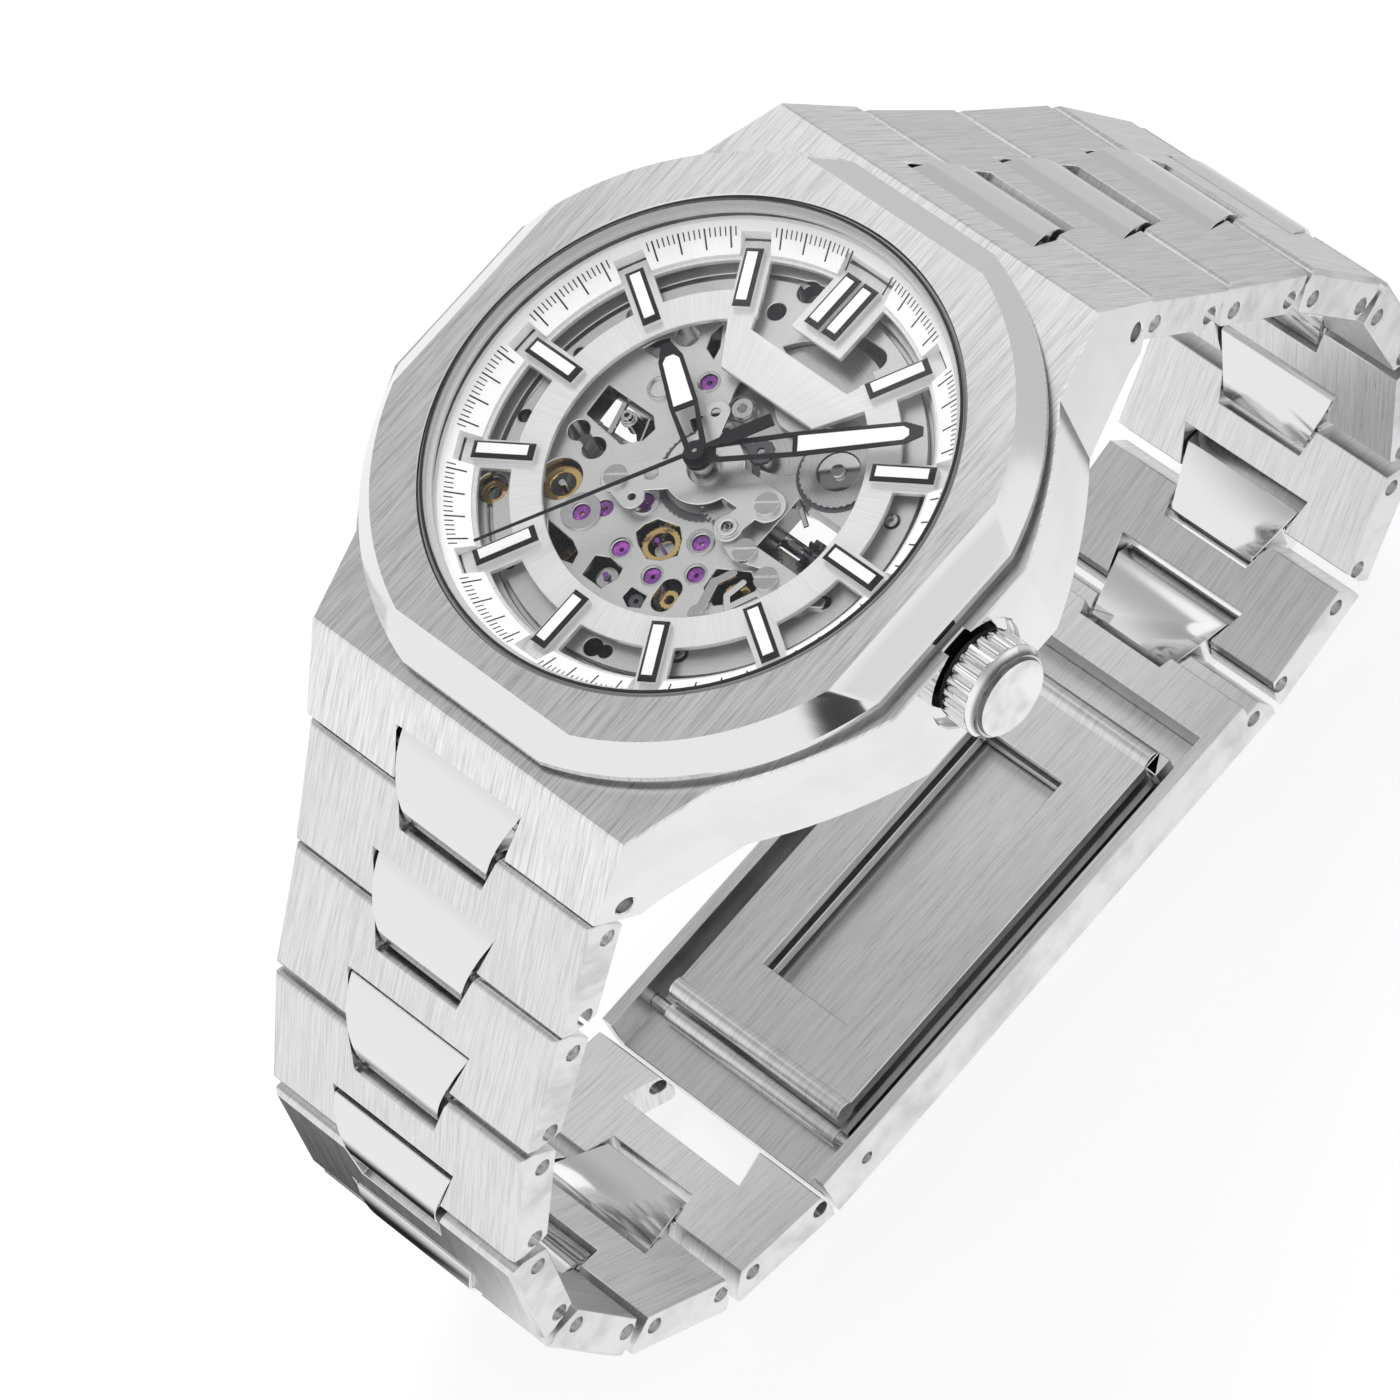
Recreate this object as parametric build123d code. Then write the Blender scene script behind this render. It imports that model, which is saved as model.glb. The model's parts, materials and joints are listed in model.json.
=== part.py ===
from build123d import *
import math
import os

# Skeleton wristwatch: case, dial, hand-visible movement, crown and closed link bracelet.
# Millimetres, +Z out of the dial, +Y to twelve o'clock, +X to three o'clock (the crown side).
# The origin is the centre of the case back's outer face, which lies on the plane z = 0.

# ---- clearances ----
RUN_GAP = 0.05          # radial gap of a turning pivot
FREE_GAP = 0.15         # gap between parts that pass each other
SEAT_GAP = 0.02         # gap of a seated ring

# ---- case and bezel ----
BEZEL_FLAT = 18.1       # centre to the inner edge of a flat of the bevel
BEZEL_TOP_R = 19.5      # radius of the top face's arcs
BEVEL_FLAT = 20.0       # centre to a flat at the foot of the bevel
BEVEL_R = 20.8          # radius of the foot's arcs
BEZEL_TOP_Z = 11.0
BEVEL_FOOT_Z = 9.1
BEZEL_BASE_Z = 8.6
BEZEL_HOLE_R = 16.4     # opening over the dial
CASE_TOP_Z = 8.1
CASE_BASE_Z = 1.0
CASE_BORE_R = 16.25     # bore that holds the movement ring
HOOD_HALF_W = 13.1      # half width of the lug hood at its ridge
HOOD_RIDGE_Y = 20.9
HOOD_END_HALF_W = 12.2
HOOD_END_Y = 24.8
HOOD_END_Z = 3.1
HOOD_UNDERCUT = 3.2     # lean of the end face under the hood
SIDE_FLAT_X = 20.9      # crown side flat
SIDE_FLAT_Y = 5.7
SHOULDER_X = 15.0
SHOULDER_Y = 15.2
SHOULDER_BULGE = 21.2   # radius of the middle of a shoulder's arc

# ---- crystals, gaskets and back ----
CRYSTAL_R = 16.2
CRYSTAL_Z = 10.45
CRYSTAL_T = 1.0
BACK_R = 17.6
BACK_RIM_T = 1.6
BACK_NECK_R = 16.9
BACK_NECK_T = 1.0
BACK_GLASS_R = 13.0
BACK_GLASS_T = 1.1
GASKET_T = 0.5

# ---- dial ----
DIAL_Z = 7.65
DIAL_T = 0.4
DIAL_R = 15.2
WINDOW_OUT_R = 13.9
WINDOW_IN_R = 11.9
BAND_IN_R = 9.9
SPOKE_W = 1.9
MARKER_IN_R = 10.45
MARKER_OUT_R = 14.4
MARKER_W = 1.15
MARKER_H = 0.7
MARKER_GAP = 0.25       # between the two bars at twelve
LUME_INSET = 0.24
LUME_T = 0.12
CHAPTER_IN_R = 14.15
CHAPTER_OUT_R = 16.15
CHAPTER_RISE = 1.25
CHAPTER_T = 0.45

# ---- movement ----
PLATE_R = 15.2
PLATE_Z = 5.3
PLATE_T = 1.75
BRIDGE_Z = 2.8
BRIDGE_T = 0.7
THIRD_ANGLE = 307.3     # direction of the third wheel from the centre
BARREL_ANGLE = 75.0
ESCAPE_ANGLE = 239.0
MINUTE_ANGLE = 350.0
MOD_BARREL = 0.16
MOD_CENTER = 0.10
MOD_THIRD = 9.0 / 85.0
MOD_ESCAPE = 0.10
MOD_MINUTE = 0.10
MOD_HOUR = 0.096
BARREL_TEETH = 72
CENTER_PINION_TEETH = 12
CENTER_TEETH = 80
THIRD_PINION_TEETH = 10
THIRD_TEETH = 75
FOURTH_PINION_TEETH = 10
FOURTH_TEETH = 72
ESCAPE_PINION_TEETH = 8
ESCAPE_TEETH = 20
ESCAPE_R = 2.1
CANNON_TEETH = 12
MINUTE_TEETH = 36
MINUTE_PINION_TEETH = 10
HOUR_TEETH = 40
BALANCE_R = 3.4
BALANCE_DIST = 3.9      # balance staff to escape wheel staff
STEM_Z = 4.6
STEM_R = 0.45

# ---- hands ----
HOUR_Z = 9.0
MINUTE_Z = 9.4
SECOND_Z = 9.8
HAND_T = 0.15
HOUR_LEN = 8.3
MINUTE_LEN = 13.6
SECOND_LEN = 13.9
SECOND_TAIL = 4.9
HOUR_ANGLE = 303.0      # clockwise from twelve
MINUTE_HAND_ANGLE = 50.0
SECOND_ANGLE = 211.0

# ---- crown ----
CROWN_R = 3.05
CROWN_BASE_X = 21.05
CROWN_LEN = 2.7
CROWN_DISC_R = 2.75
CROWN_FLUTES = 24
CROWN_PULL = 1.2

# ---- bracelet ----
LINK_PITCH = 8.8
LINK_T = 2.9
LINK_GAP = 0.25
PIN_R = 0.55
PIN_HEAD = 0.25
CLASP_T = 1.2


def polar(radius, degrees):
    """Point at a radius and an angle counted anticlockwise from +X."""
    turn = math.radians(degrees)
    return (radius * math.cos(turn), radius * math.sin(turn))


def clock(radius, degrees):
    """Point at a radius and an angle counted clockwise from twelve o'clock."""
    return polar(radius, 90.0 - degrees)


def disc(radius, z, height, at=(0.0, 0.0)):
    return Pos(at[0], at[1], z) * Cylinder(radius, height, align=(Align.CENTER, Align.CENTER, Align.MIN))


def ring(outer, inner, z, height, at=(0.0, 0.0)):
    return disc(outer, z, height, at) - disc(inner, z - 1, height + 2, at)


def bar(x0, x1, y0, y1, z0, z1):
    """Box between two corners."""
    size = (x1 - x0, y1 - y0, z1 - z0)
    return Pos((x0 + x1) / 2, (y0 + y1) / 2, (z0 + z1) / 2) * Box(*size)


def slab(points, z, height):
    """Prism over a closed polygon."""
    face = make_face(Polyline(*points, close=True))
    return extrude(Pos(0, 0, z) * face, height)


def capsule(a, b, radius, z, height):
    """Flat bar with round ends from point a to point b."""
    middle = ((a[0] + b[0]) / 2, (a[1] + b[1]) / 2)
    length = math.dist(a, b)
    turn = math.degrees(math.atan2(b[1] - a[1], b[0] - a[0]))
    face = SlotCenterToCenter(length, 2 * radius)
    return extrude(Pos(middle[0], middle[1], z) * Rot(0, 0, turn) * face, height)


def x_cylinder(radius, x0, x1, y, z):
    """Cylinder along +X from x0 to x1."""
    return Pos((x0 + x1) / 2, y, z) * Rot(0, 90, 0) * Cylinder(radius, x1 - x0)


def revolve_profile(points):
    """Solid turned about Z from (radius, z) points."""
    face = make_face(Polyline(*[(r, 0, z) for r, z in points], close=True))
    return revolve(face, Axis.Z, 360)


def cut_all(body, tools):
    for tool in tools:
        body = body - tool
    return body


def save(node, *solids):
    """Write one node; each argument is a separate solid or a list of them."""
    pieces = []
    for item in solids:
        pieces.extend(item.solids() if hasattr(item, "solids") else [s for i in item for s in i.solids()])
    export_step(Compound(children=pieces) if len(pieces) > 1 else pieces[0], f"parts/{node}.step")
    return pieces


def bezel_outline(flat, radius):
    """Circle of the given radius cut by four flats at the quarter hours."""
    square = Rectangle(2 * flat, 2 * flat)
    return Circle(radius) & square


# ---- gears ----
def gear_points(teeth, module, addendum=0.95, dedendum=1.25):
    """Outline of a spur gear with rounded, pointed watch teeth."""
    pitch = teeth * module / 2
    tip = pitch + addendum * module
    root = pitch - dedendum * module
    step = 360.0 / teeth
    points = []
    for i in range(teeth):
        base = i * step
        points.append(polar(root, base - 0.27 * step))
        points.append(polar(pitch, base - 0.225 * step))
        points.append(polar(tip, base - 0.09 * step))
        points.append(polar(tip, base + 0.09 * step))
        points.append(polar(pitch, base + 0.225 * step))
        points.append(polar(root, base + 0.27 * step))
    return points


def gear(teeth, module, z, height, turn=0.0, bore=0.0, at=(0.0, 0.0)):
    """Spur gear with its first tooth turned by the given angle."""
    body = Rot(0, 0, turn) * slab(gear_points(teeth, module), 0, height)
    if bore:
        body = body - disc(bore, -1, height + 2)
    return Pos(at[0], at[1], z) * body


def spoked(body, hub, rim, spokes, z, height, at=(0.0, 0.0), arm=0.7, turn=0.0):
    """Cut the windows between the spokes of a wheel."""
    windows = ring(rim, hub, z - 1, height + 2, at)
    for i in range(spokes):
        end = polar(rim + 1, turn + 360.0 * i / spokes)
        far = (at[0] + end[0], at[1] + end[1])
        windows = windows - capsule(at, far, arm / 2, z - 2, height + 4)
    return body - windows


def mesh_turn(driver_teeth, driven_teeth, driver_turn, direction):
    """Turn of the driven gear's first tooth so that it meets a gap of the driver."""
    driver_step = 360.0 / driver_teeth
    driven_step = 360.0 / driven_teeth
    phase = ((direction - driver_turn) / driver_step) % 1.0
    return direction + 180.0 + (0.5 + phase) * driven_step


# ---- places of the wheels ----
CENTER_THIRD = (CENTER_TEETH + THIRD_PINION_TEETH) * MOD_CENTER / 2
BARREL_DIST = (BARREL_TEETH + CENTER_PINION_TEETH) * MOD_BARREL / 2
ESCAPE_DIST = (FOURTH_TEETH + ESCAPE_PINION_TEETH) * MOD_ESCAPE / 2
MINUTE_DIST = (CANNON_TEETH + MINUTE_TEETH) * MOD_MINUTE / 2
THIRD_XY = polar(CENTER_THIRD, THIRD_ANGLE)
BARREL_XY = polar(BARREL_DIST, BARREL_ANGLE)
ESCAPE_XY = polar(ESCAPE_DIST, ESCAPE_ANGLE)
MINUTE_XY = polar(MINUTE_DIST, MINUTE_ANGLE)
BALANCE_TURN = 225.0
BALANCE_XY = (
    ESCAPE_XY[0] + polar(BALANCE_DIST, BALANCE_TURN)[0],
    ESCAPE_XY[1] + polar(BALANCE_DIST, BALANCE_TURN)[1],
)


# ---- case ----
HOOD_SLOPE = math.atan2(CASE_TOP_Z - HOOD_END_Z, HOOD_END_Y - HOOD_RIDGE_Y)
PIN_UP = 1.1            # pin in the plate above, from the joint line
PIN_DOWN = 1.7          # pin in the link's own plate
PIN_DEPTH = 1.9
NOTCH_GAP = 0.2         # play of a connector in its notch
LUG_PIN_Y = HOOD_END_Y - PIN_UP * math.cos(HOOD_SLOPE) - PIN_DEPTH * math.sin(HOOD_SLOPE)
LUG_PIN_Z = HOOD_END_Z + PIN_UP * math.sin(HOOD_SLOPE) - PIN_DEPTH * math.cos(HOOD_SLOPE)
CONNECTOR_TOP_W = 5.1   # half width of a centre connector at its wide end
CONNECTOR_LOW_W = 3.3
CONNECTOR_UP = 3.3      # reach of a connector above the joint line
CONNECTOR_DOWN = 2.7
CROWN_RECESS_R = 3.6


def case_outline():
    """Outline of the case seen from above: four arcs, two flats and the hoods."""
    lines = []
    corners = [(HOOD_HALF_W, HOOD_RIDGE_Y), (SHOULDER_X, SHOULDER_Y), (SIDE_FLAT_X, SIDE_FLAT_Y)]
    bulge = clock(SHOULDER_BULGE, math.degrees(math.atan2(SHOULDER_X + SIDE_FLAT_X, SHOULDER_Y + SIDE_FLAT_Y)))
    for sx in (1, -1):
        for sy in (1, -1):
            hood, shoulder, flat = [(sx * x, sy * y) for x, y in corners]
            lines.append(Line(hood, shoulder))
            lines.append(ThreePointArc(shoulder, (sx * bulge[0], sy * bulge[1]), flat))
        lines.append(Line((sx * SIDE_FLAT_X, SIDE_FLAT_Y), (sx * SIDE_FLAT_X, -SIDE_FLAT_Y)))
    for sy in (1, -1):
        tip_y = sy * (HOOD_END_Y + 0.1)
        ends = [(s * HOOD_END_HALF_W, tip_y) for s in (1, -1)]
        lines.append(Line((HOOD_HALF_W, sy * HOOD_RIDGE_Y), ends[0]))
        lines.append(Line(ends[0], ends[1]))
        lines.append(Line(ends[1], (-HOOD_HALF_W, sy * HOOD_RIDGE_Y)))
    return make_face(lines)


def hood_cutter(sy):
    """Everything outside the sloping hood face and the slanted under side of the lugs."""
    slope = [(sy * HOOD_RIDGE_Y, CASE_TOP_Z), (sy * HOOD_END_Y, HOOD_END_Z)]
    run = HOOD_END_Y - HOOD_RIDGE_Y
    fall = CASE_TOP_Z - HOOD_END_Z
    upper = [slope[0], slope[1], (sy * (HOOD_END_Y + 2), HOOD_END_Z - 2 * fall / run)]
    upper.append((sy * (HOOD_END_Y + 4), CASE_TOP_Z + 4))
    upper.append((sy * (HOOD_RIDGE_Y - 4 * run / fall), CASE_TOP_Z + 4))
    # the end face leans back under the hood and meets the flat bottom of the lug
    foot = (sy * (HOOD_END_Y - HOOD_UNDERCUT), CASE_BASE_Z - 0.5)
    lower = [slope[1], foot, (sy * (HOOD_END_Y + 4), CASE_BASE_Z - 0.5), (sy * (HOOD_END_Y + 4), HOOD_END_Z)]
    tools = []
    for points in (upper, lower):
        face = make_face(Polyline(*[(-20, y, z) for y, z in points], close=True))
        tools.append(extrude(face, 40, dir=(1, 0, 0)))
    return tools


def connector_outline(grow, up=CONNECTOR_UP, down=CONNECTOR_DOWN, top=CONNECTOR_TOP_W, low=CONNECTOR_LOW_W):
    """Trapezoid across a joint line, wide end up; grown on all sides by a gap."""
    return [
        (-top - grow, up + grow),
        (top + grow, up + grow),
        (low + grow, -down - grow),
        (-low - grow, -down - grow),
    ]


def make_case_middle():
    body = extrude(Pos(0, 0, CASE_BASE_Z) * case_outline(), CASE_TOP_Z - CASE_BASE_Z)
    for sy in (1, -1):
        body = cut_all(body, hood_cutter(sy))
    body = body - disc(CASE_BORE_R, CASE_BASE_Z - 1, 20)
    body = body - disc(BACK_NECK_R + SEAT_GAP, CASE_BASE_Z - 1, 1 + BACK_NECK_T + BACK_RIM_T - CASE_BASE_Z)
    for sy in (1, -1):
        body = body - connector_slot(sy, NOTCH_GAP)
        body = body - x_cylinder(PIN_R + RUN_GAP, -20, 20, sy * LUG_PIN_Y, LUG_PIN_Z)
    body = body - x_cylinder(1.3 + SEAT_GAP, 15, 25, 0, STEM_Z)
    body = body - x_cylinder(CROWN_RECESS_R, SIDE_FLAT_X - 0.6, 25, 0, STEM_Z)
    return body


def joint_frame(side, y, z, slope):
    """Frame on a joint line: local X across, local Y up the bracelet, local Z outward."""
    turn = math.degrees(slope)
    if side > 0:
        return Pos(0, y, z) * Rot(0, 0, 180) * Rot(turn, 0, 0)
    return Pos(0, y, z) * Rot(turn, 0, 0)


def connector_slot(sy, grow):
    """Notch in the end of the case for the first connector."""
    frame = joint_frame(sy, sy * HOOD_END_Y, HOOD_END_Z, HOOD_SLOPE)
    return frame * slab(connector_outline(grow, down=6), -LINK_T - 3.5, LINK_T + 5)


def make_bezel():
    foot = Pos(0, 0, BEVEL_FOOT_Z) * bezel_outline(BEVEL_FLAT, BEVEL_R)
    top = Pos(0, 0, BEZEL_TOP_Z) * bezel_outline(BEZEL_FLAT, BEZEL_TOP_R)
    body = loft([foot, top], ruled=True)
    body = body + extrude(Pos(0, 0, BEZEL_BASE_Z) * bezel_outline(BEVEL_FLAT, BEVEL_R), BEVEL_FOOT_Z - BEZEL_BASE_Z)
    body = body + extrude(Pos(0, 0, CASE_TOP_Z) * bezel_outline(BEVEL_FLAT - 0.5, BEVEL_R - 0.5), BEZEL_BASE_Z - CASE_TOP_Z)
    body = body - disc(BEZEL_HOLE_R, CASE_TOP_Z - 1, 8)
    lip = revolve_profile([(BEZEL_HOLE_R - 0.1, 10.7), (BEZEL_HOLE_R + 0.35, 11.1), (BEZEL_HOLE_R - 0.1, 11.1)])
    return body - lip


def make_crystal():
    body = disc(CRYSTAL_R, CRYSTAL_Z, CRYSTAL_T)
    return chamfer(body.edges().group_by(Axis.Z)[-1], 0.2)


def make_crystal_gasket():
    body = ring(BEZEL_HOLE_R - SEAT_GAP, CRYSTAL_R + SEAT_GAP, CRYSTAL_Z, CRYSTAL_T - 0.35)
    return body + ring(BEZEL_HOLE_R - SEAT_GAP, CRYSTAL_R - 0.35, CRYSTAL_Z - 0.3, 0.28)


def make_case_back():
    top = CASE_BASE_Z
    profile = [
        (BACK_GLASS_R + SEAT_GAP, 0),
        (BACK_R - 0.9, 0),
        (BACK_R, 0.5),
        (BACK_R, top),
        (BACK_NECK_R, top),
        (BACK_NECK_R, BACK_RIM_T),
        (BACK_NECK_R - 1.3, BACK_RIM_T),
        (BACK_NECK_R - 1.3, BACK_GLASS_T + 0.05),
        (BACK_GLASS_R + SEAT_GAP, BACK_GLASS_T + 0.05),
    ]
    body = revolve_profile(profile)
    for i in range(6):
        x, y = polar(BACK_R - 1.9, 60 * i + 30)
        body = body - Pos(x, y, 0) * Rot(0, 0, 60 * i + 30) * Box(1.2, 2.6, 0.9)
    return body


def make_back_crystal():
    body = disc(BACK_GLASS_R, 0.03, BACK_GLASS_T - 0.03)
    return chamfer(body.edges().group_by(Axis.Z)[0], 0.15)


def make_back_gasket():
    return Pos(0, 0, BACK_RIM_T + GASKET_T / 2 + SEAT_GAP) * Torus(BACK_NECK_R - 0.35, GASKET_T / 2)


def make_crown_tube():
    body = x_cylinder(1.3, 15.9, SIDE_FLAT_X + 0.2, 0, STEM_Z)
    return body - x_cylinder(0.75, 15, 25, 0, STEM_Z)


def make_movement_ring():
    body = ring(CASE_BORE_R - SEAT_GAP, PLATE_R + SEAT_GAP, 3.2, DIAL_Z - 3.2)
    body = body - x_cylinder(1.35, 14, 17, 0, STEM_Z)
    # ledge under the main plate
    return body + ring(CASE_BORE_R - SEAT_GAP, PLATE_R - 0.5, 3.2, PLATE_Z - 3.2 - SEAT_GAP) - x_cylinder(1.35, 14, 17, 0, STEM_Z)


# ---- dial ----
PLAQUE_LOW_Y = 5.5
PLAQUE_TOP_Y = 8.4
PLAQUE_HALF_W = 3.8
DIAL_TOP = DIAL_Z + DIAL_T


def spoke_width(hour):
    return 2 * SPOKE_W + MARKER_GAP if hour == 0 else SPOKE_W


def make_dial():
    body = ring(DIAL_R, WINDOW_OUT_R, DIAL_Z, DIAL_T)
    band = ring(WINDOW_IN_R, BAND_IN_R, DIAL_Z, DIAL_T)
    left = clock(20, -30)
    right = clock(20, 30)
    band = band - slab([(0, 0), left, (0, 30), right], DIAL_Z - 1, DIAL_T + 2)
    body = body + band
    for hour in range(12):
        x0 = BAND_IN_R if hour == 0 else BAND_IN_R + 0.2
        half = spoke_width(hour) / 2
        spoke = Rot(0, 0, 90 - 30 * hour) * bar(x0, DIAL_R - 0.5, -half, half, DIAL_Z, DIAL_TOP)
        body = body + spoke
    # plaque under twelve, hung from the spokes at eleven and one
    arm_in = clock(BAND_IN_R + 1.2, 30)
    half = SPOKE_W / 2
    tilt = math.radians(30)
    outer = (arm_in[0] + half * math.cos(tilt), arm_in[1] - half * math.sin(tilt))
    inner = (arm_in[0] - half * math.cos(tilt), arm_in[1] + half * math.sin(tilt))
    plaque = [(-PLAQUE_HALF_W, PLAQUE_LOW_Y), (PLAQUE_HALF_W, PLAQUE_LOW_Y), outer, inner]
    plaque.extend([(inner[0] - 0.75, PLAQUE_TOP_Y), (-inner[0] + 0.75, PLAQUE_TOP_Y)])
    plaque.extend([(-inner[0], inner[1]), (-outer[0], outer[1])])
    return body + slab(plaque, DIAL_Z, DIAL_T)


def marker_places():
    """Hour angle and sideways shift of every bar."""
    places = [(30 * hour, 0.0) for hour in range(1, 12)]
    shift = (MARKER_W + MARKER_GAP) / 2
    return places + [(0, shift), (0, -shift)]


def marker_bar():
    """One bar along +X with faceted edges and a recess for the lume."""
    half = MARKER_W / 2
    body = bar(MARKER_IN_R, MARKER_OUT_R, -half, half, DIAL_TOP, DIAL_TOP + MARKER_H)
    body = chamfer(body.edges().group_by(Axis.Z)[-1], 0.22)
    inset = half - LUME_INSET
    top = DIAL_TOP + MARKER_H
    return body - bar(MARKER_IN_R + 0.35, MARKER_OUT_R - 0.35, -inset, inset, top - LUME_T, top + 1)


def lume_bar():
    inset = MARKER_W / 2 - LUME_INSET
    top = DIAL_TOP + MARKER_H
    return bar(MARKER_IN_R + 0.35, MARKER_OUT_R - 0.35, -inset, inset, top - LUME_T, top)


def around_dial(piece):
    return [Rot(0, 0, 90 - angle) * (Pos(0, shift, 0) * piece) for angle, shift in marker_places()]


def make_chapter_ring():
    foot = DIAL_TOP + 0.01
    profile = [
        (CHAPTER_IN_R, foot),
        (CHAPTER_OUT_R, foot),
        (CHAPTER_OUT_R, foot + CHAPTER_RISE),
        (CHAPTER_OUT_R - 0.25, foot + CHAPTER_RISE),
        (CHAPTER_IN_R, foot + 0.2),
    ]
    body = revolve_profile(profile)
    for hour in range(12):
        half = spoke_width(hour) / 2 - (0.1 if hour == 0 else 0)
        notch = bar(CHAPTER_IN_R - 1, MARKER_OUT_R + 0.9, -half, half, foot - 1, foot + 3)
        body = body - Rot(0, 0, 90 - 30 * hour) * notch
    return body


# ---- hands ----
HUB_R = 0.85


def frame_hand(length, leg_w, frame_w, split, z):
    """Open hand along +Y: two legs from the hub, then a frame around the lume."""
    half = frame_w / 2
    tip = length
    outline = [
        (-leg_w / 2, 0),
        (leg_w / 2, 0),
        (half, split),
        (half * 0.88, tip - half * 1.3),
        (half * 0.35, tip),
        (-half * 0.35, tip),
        (-half * 0.88, tip - half * 1.3),
        (-half, split),
    ]
    body = slab(outline, z, HAND_T)
    rim = 0.27
    window = [
        (-leg_w / 2 + rim, HUB_R + 0.3),
        (leg_w / 2 - rim, HUB_R + 0.3),
        (half - rim, split - 0.3),
        (-half + rim, split - 0.3),
    ]
    body = body - slab(window, z - 1, 3)
    body = body - slab(lume_outline(length, frame_w, split), z - 1, 3)
    return body + disc(HUB_R, z, HAND_T)


def lume_outline(length, frame_w, split):
    half = frame_w / 2 - 0.27
    top = length - frame_w * 0.55 - 0.3
    return [(-half, split), (half, split), (half * 0.86, top), (half * 0.4, top + 0.35),
            (-half * 0.4, top + 0.35), (-half * 0.86, top)]


def hand_lume(length, frame_w, split, z):
    return slab(lume_outline(length, frame_w, split), z + 0.02, HAND_T - 0.04)


HOUR_SHAPE = (HOUR_LEN, 1.2, 1.75, 3.9)
MINUTE_SHAPE = (MINUTE_LEN, 1.2, 1.6, 6.1)
HOUR_PIPE_R = 0.72
CANNON_R = 0.5
SECOND_ARBOR_R = 0.16


def make_hour_hand():
    body = frame_hand(*HOUR_SHAPE, HOUR_Z) - disc(HOUR_PIPE_R, HOUR_Z - 1, 3)
    return Rot(0, 0, -HOUR_ANGLE) * body


def make_hour_lume():
    return Rot(0, 0, -HOUR_ANGLE) * hand_lume(HOUR_LEN, HOUR_SHAPE[2], HOUR_SHAPE[3], HOUR_Z)


def make_minute_hand():
    body = frame_hand(*MINUTE_SHAPE, MINUTE_Z) - disc(CANNON_R, MINUTE_Z - 1, 3)
    return Rot(0, 0, -MINUTE_HAND_ANGLE) * body


def make_minute_lume():
    return Rot(0, 0, -MINUTE_HAND_ANGLE) * hand_lume(MINUTE_LEN, MINUTE_SHAPE[2], MINUTE_SHAPE[3], MINUTE_Z)


def make_second_hand():
    needle = slab([(-0.13, 0), (0.13, 0), (0.07, SECOND_LEN), (-0.07, SECOND_LEN)], SECOND_Z, HAND_T)
    tail = slab([(-0.13, 0), (0.13, 0), (0.2, -1.6), (0.42, -1.9), (0.42, -SECOND_TAIL),
                 (-0.42, -SECOND_TAIL), (-0.42, -1.9), (-0.2, -1.6)], SECOND_Z, HAND_T)
    body = needle + tail + disc(0.62, SECOND_Z, HAND_T + 0.1) - disc(SECOND_ARBOR_R, SECOND_Z - 1, 3)
    return Rot(0, 0, -SECOND_ANGLE) * body


# ---- levels of the movement, from the back to the dial ----
WHEEL_T = 0.12
FOURTH_Z = 3.6
THIRD_Z = 3.93
CENTER_Z = 4.35
BARREL_GEAR_Z = 4.7
BARREL_GEAR_T = 0.25
DRUM_Z = 4.66
DRUM_TOP = 6.5
DRUM_R = 5.0
ESCAPE_Z = 5.35
POCKET_TOP = 5.8
PLATE_TOP = PLATE_Z + PLATE_T
CANNON_Z = 7.12
HOUR_WHEEL_Z = 7.42
ARBOR_R = 0.2
PIVOT_R = 0.12
CENTER_TUBE_R = 0.32
BALANCE_Z = 4.5
HAIRSPRING_Z = 4.12
JEWEL_R = 0.55
ROTOR_R = 13.2
PALLET_DIST = 2.5
CENTER_TURN = 2.0
SCREW_R = 0.75
RATCHET_R = 2.8


def staff(at, z0, z1, radius=ARBOR_R):
    """Arbor with a thin pivot at both ends."""
    body = disc(radius, z0 + 0.25, z1 - z0 - 0.5, at)
    return body + disc(PIVOT_R, z0, z1 - z0, at)


PALLET_XY = (
    ESCAPE_XY[0] + polar(PALLET_DIST, BALANCE_TURN)[0],
    ESCAPE_XY[1] + polar(PALLET_DIST, BALANCE_TURN)[1],
)
CENTER_TURN_BARREL = mesh_turn(CENTER_PINION_TEETH, BARREL_TEETH, CENTER_TURN, BARREL_ANGLE)
THIRD_TURN = mesh_turn(CENTER_TEETH, THIRD_PINION_TEETH, CENTER_TURN, THIRD_ANGLE)
FOURTH_PINION_TURN = mesh_turn(THIRD_TEETH, FOURTH_PINION_TEETH, THIRD_TURN, THIRD_ANGLE + 180)
FOURTH_TURN = 0.0
ESCAPE_PINION_TURN = mesh_turn(FOURTH_TEETH, ESCAPE_PINION_TEETH, FOURTH_TURN, ESCAPE_ANGLE)
MINUTE_TURN = mesh_turn(CANNON_TEETH, MINUTE_TEETH, CENTER_TURN, MINUTE_ANGLE)
HOUR_TURN = mesh_turn(MINUTE_PINION_TEETH, HOUR_TEETH, MINUTE_TURN, MINUTE_ANGLE + 180)


def make_fourth_wheel():
    """Fourth wheel, its pinion and the long seconds arbor through the centre."""
    wheel = gear(FOURTH_TEETH, MOD_ESCAPE, FOURTH_Z, WHEEL_T, FOURTH_TURN)
    wheel = spoked(wheel, 0.9, 3.0, 4, FOURTH_Z, WHEEL_T)
    pinion = gear(FOURTH_PINION_TEETH, MOD_THIRD, FOURTH_Z + WHEEL_T, 0.5, FOURTH_PINION_TURN)
    arbor = disc(SECOND_ARBOR_R, BRIDGE_Z + 0.2, SECOND_Z + HAND_T - BRIDGE_Z - 0.2)
    return wheel + pinion + arbor


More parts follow.
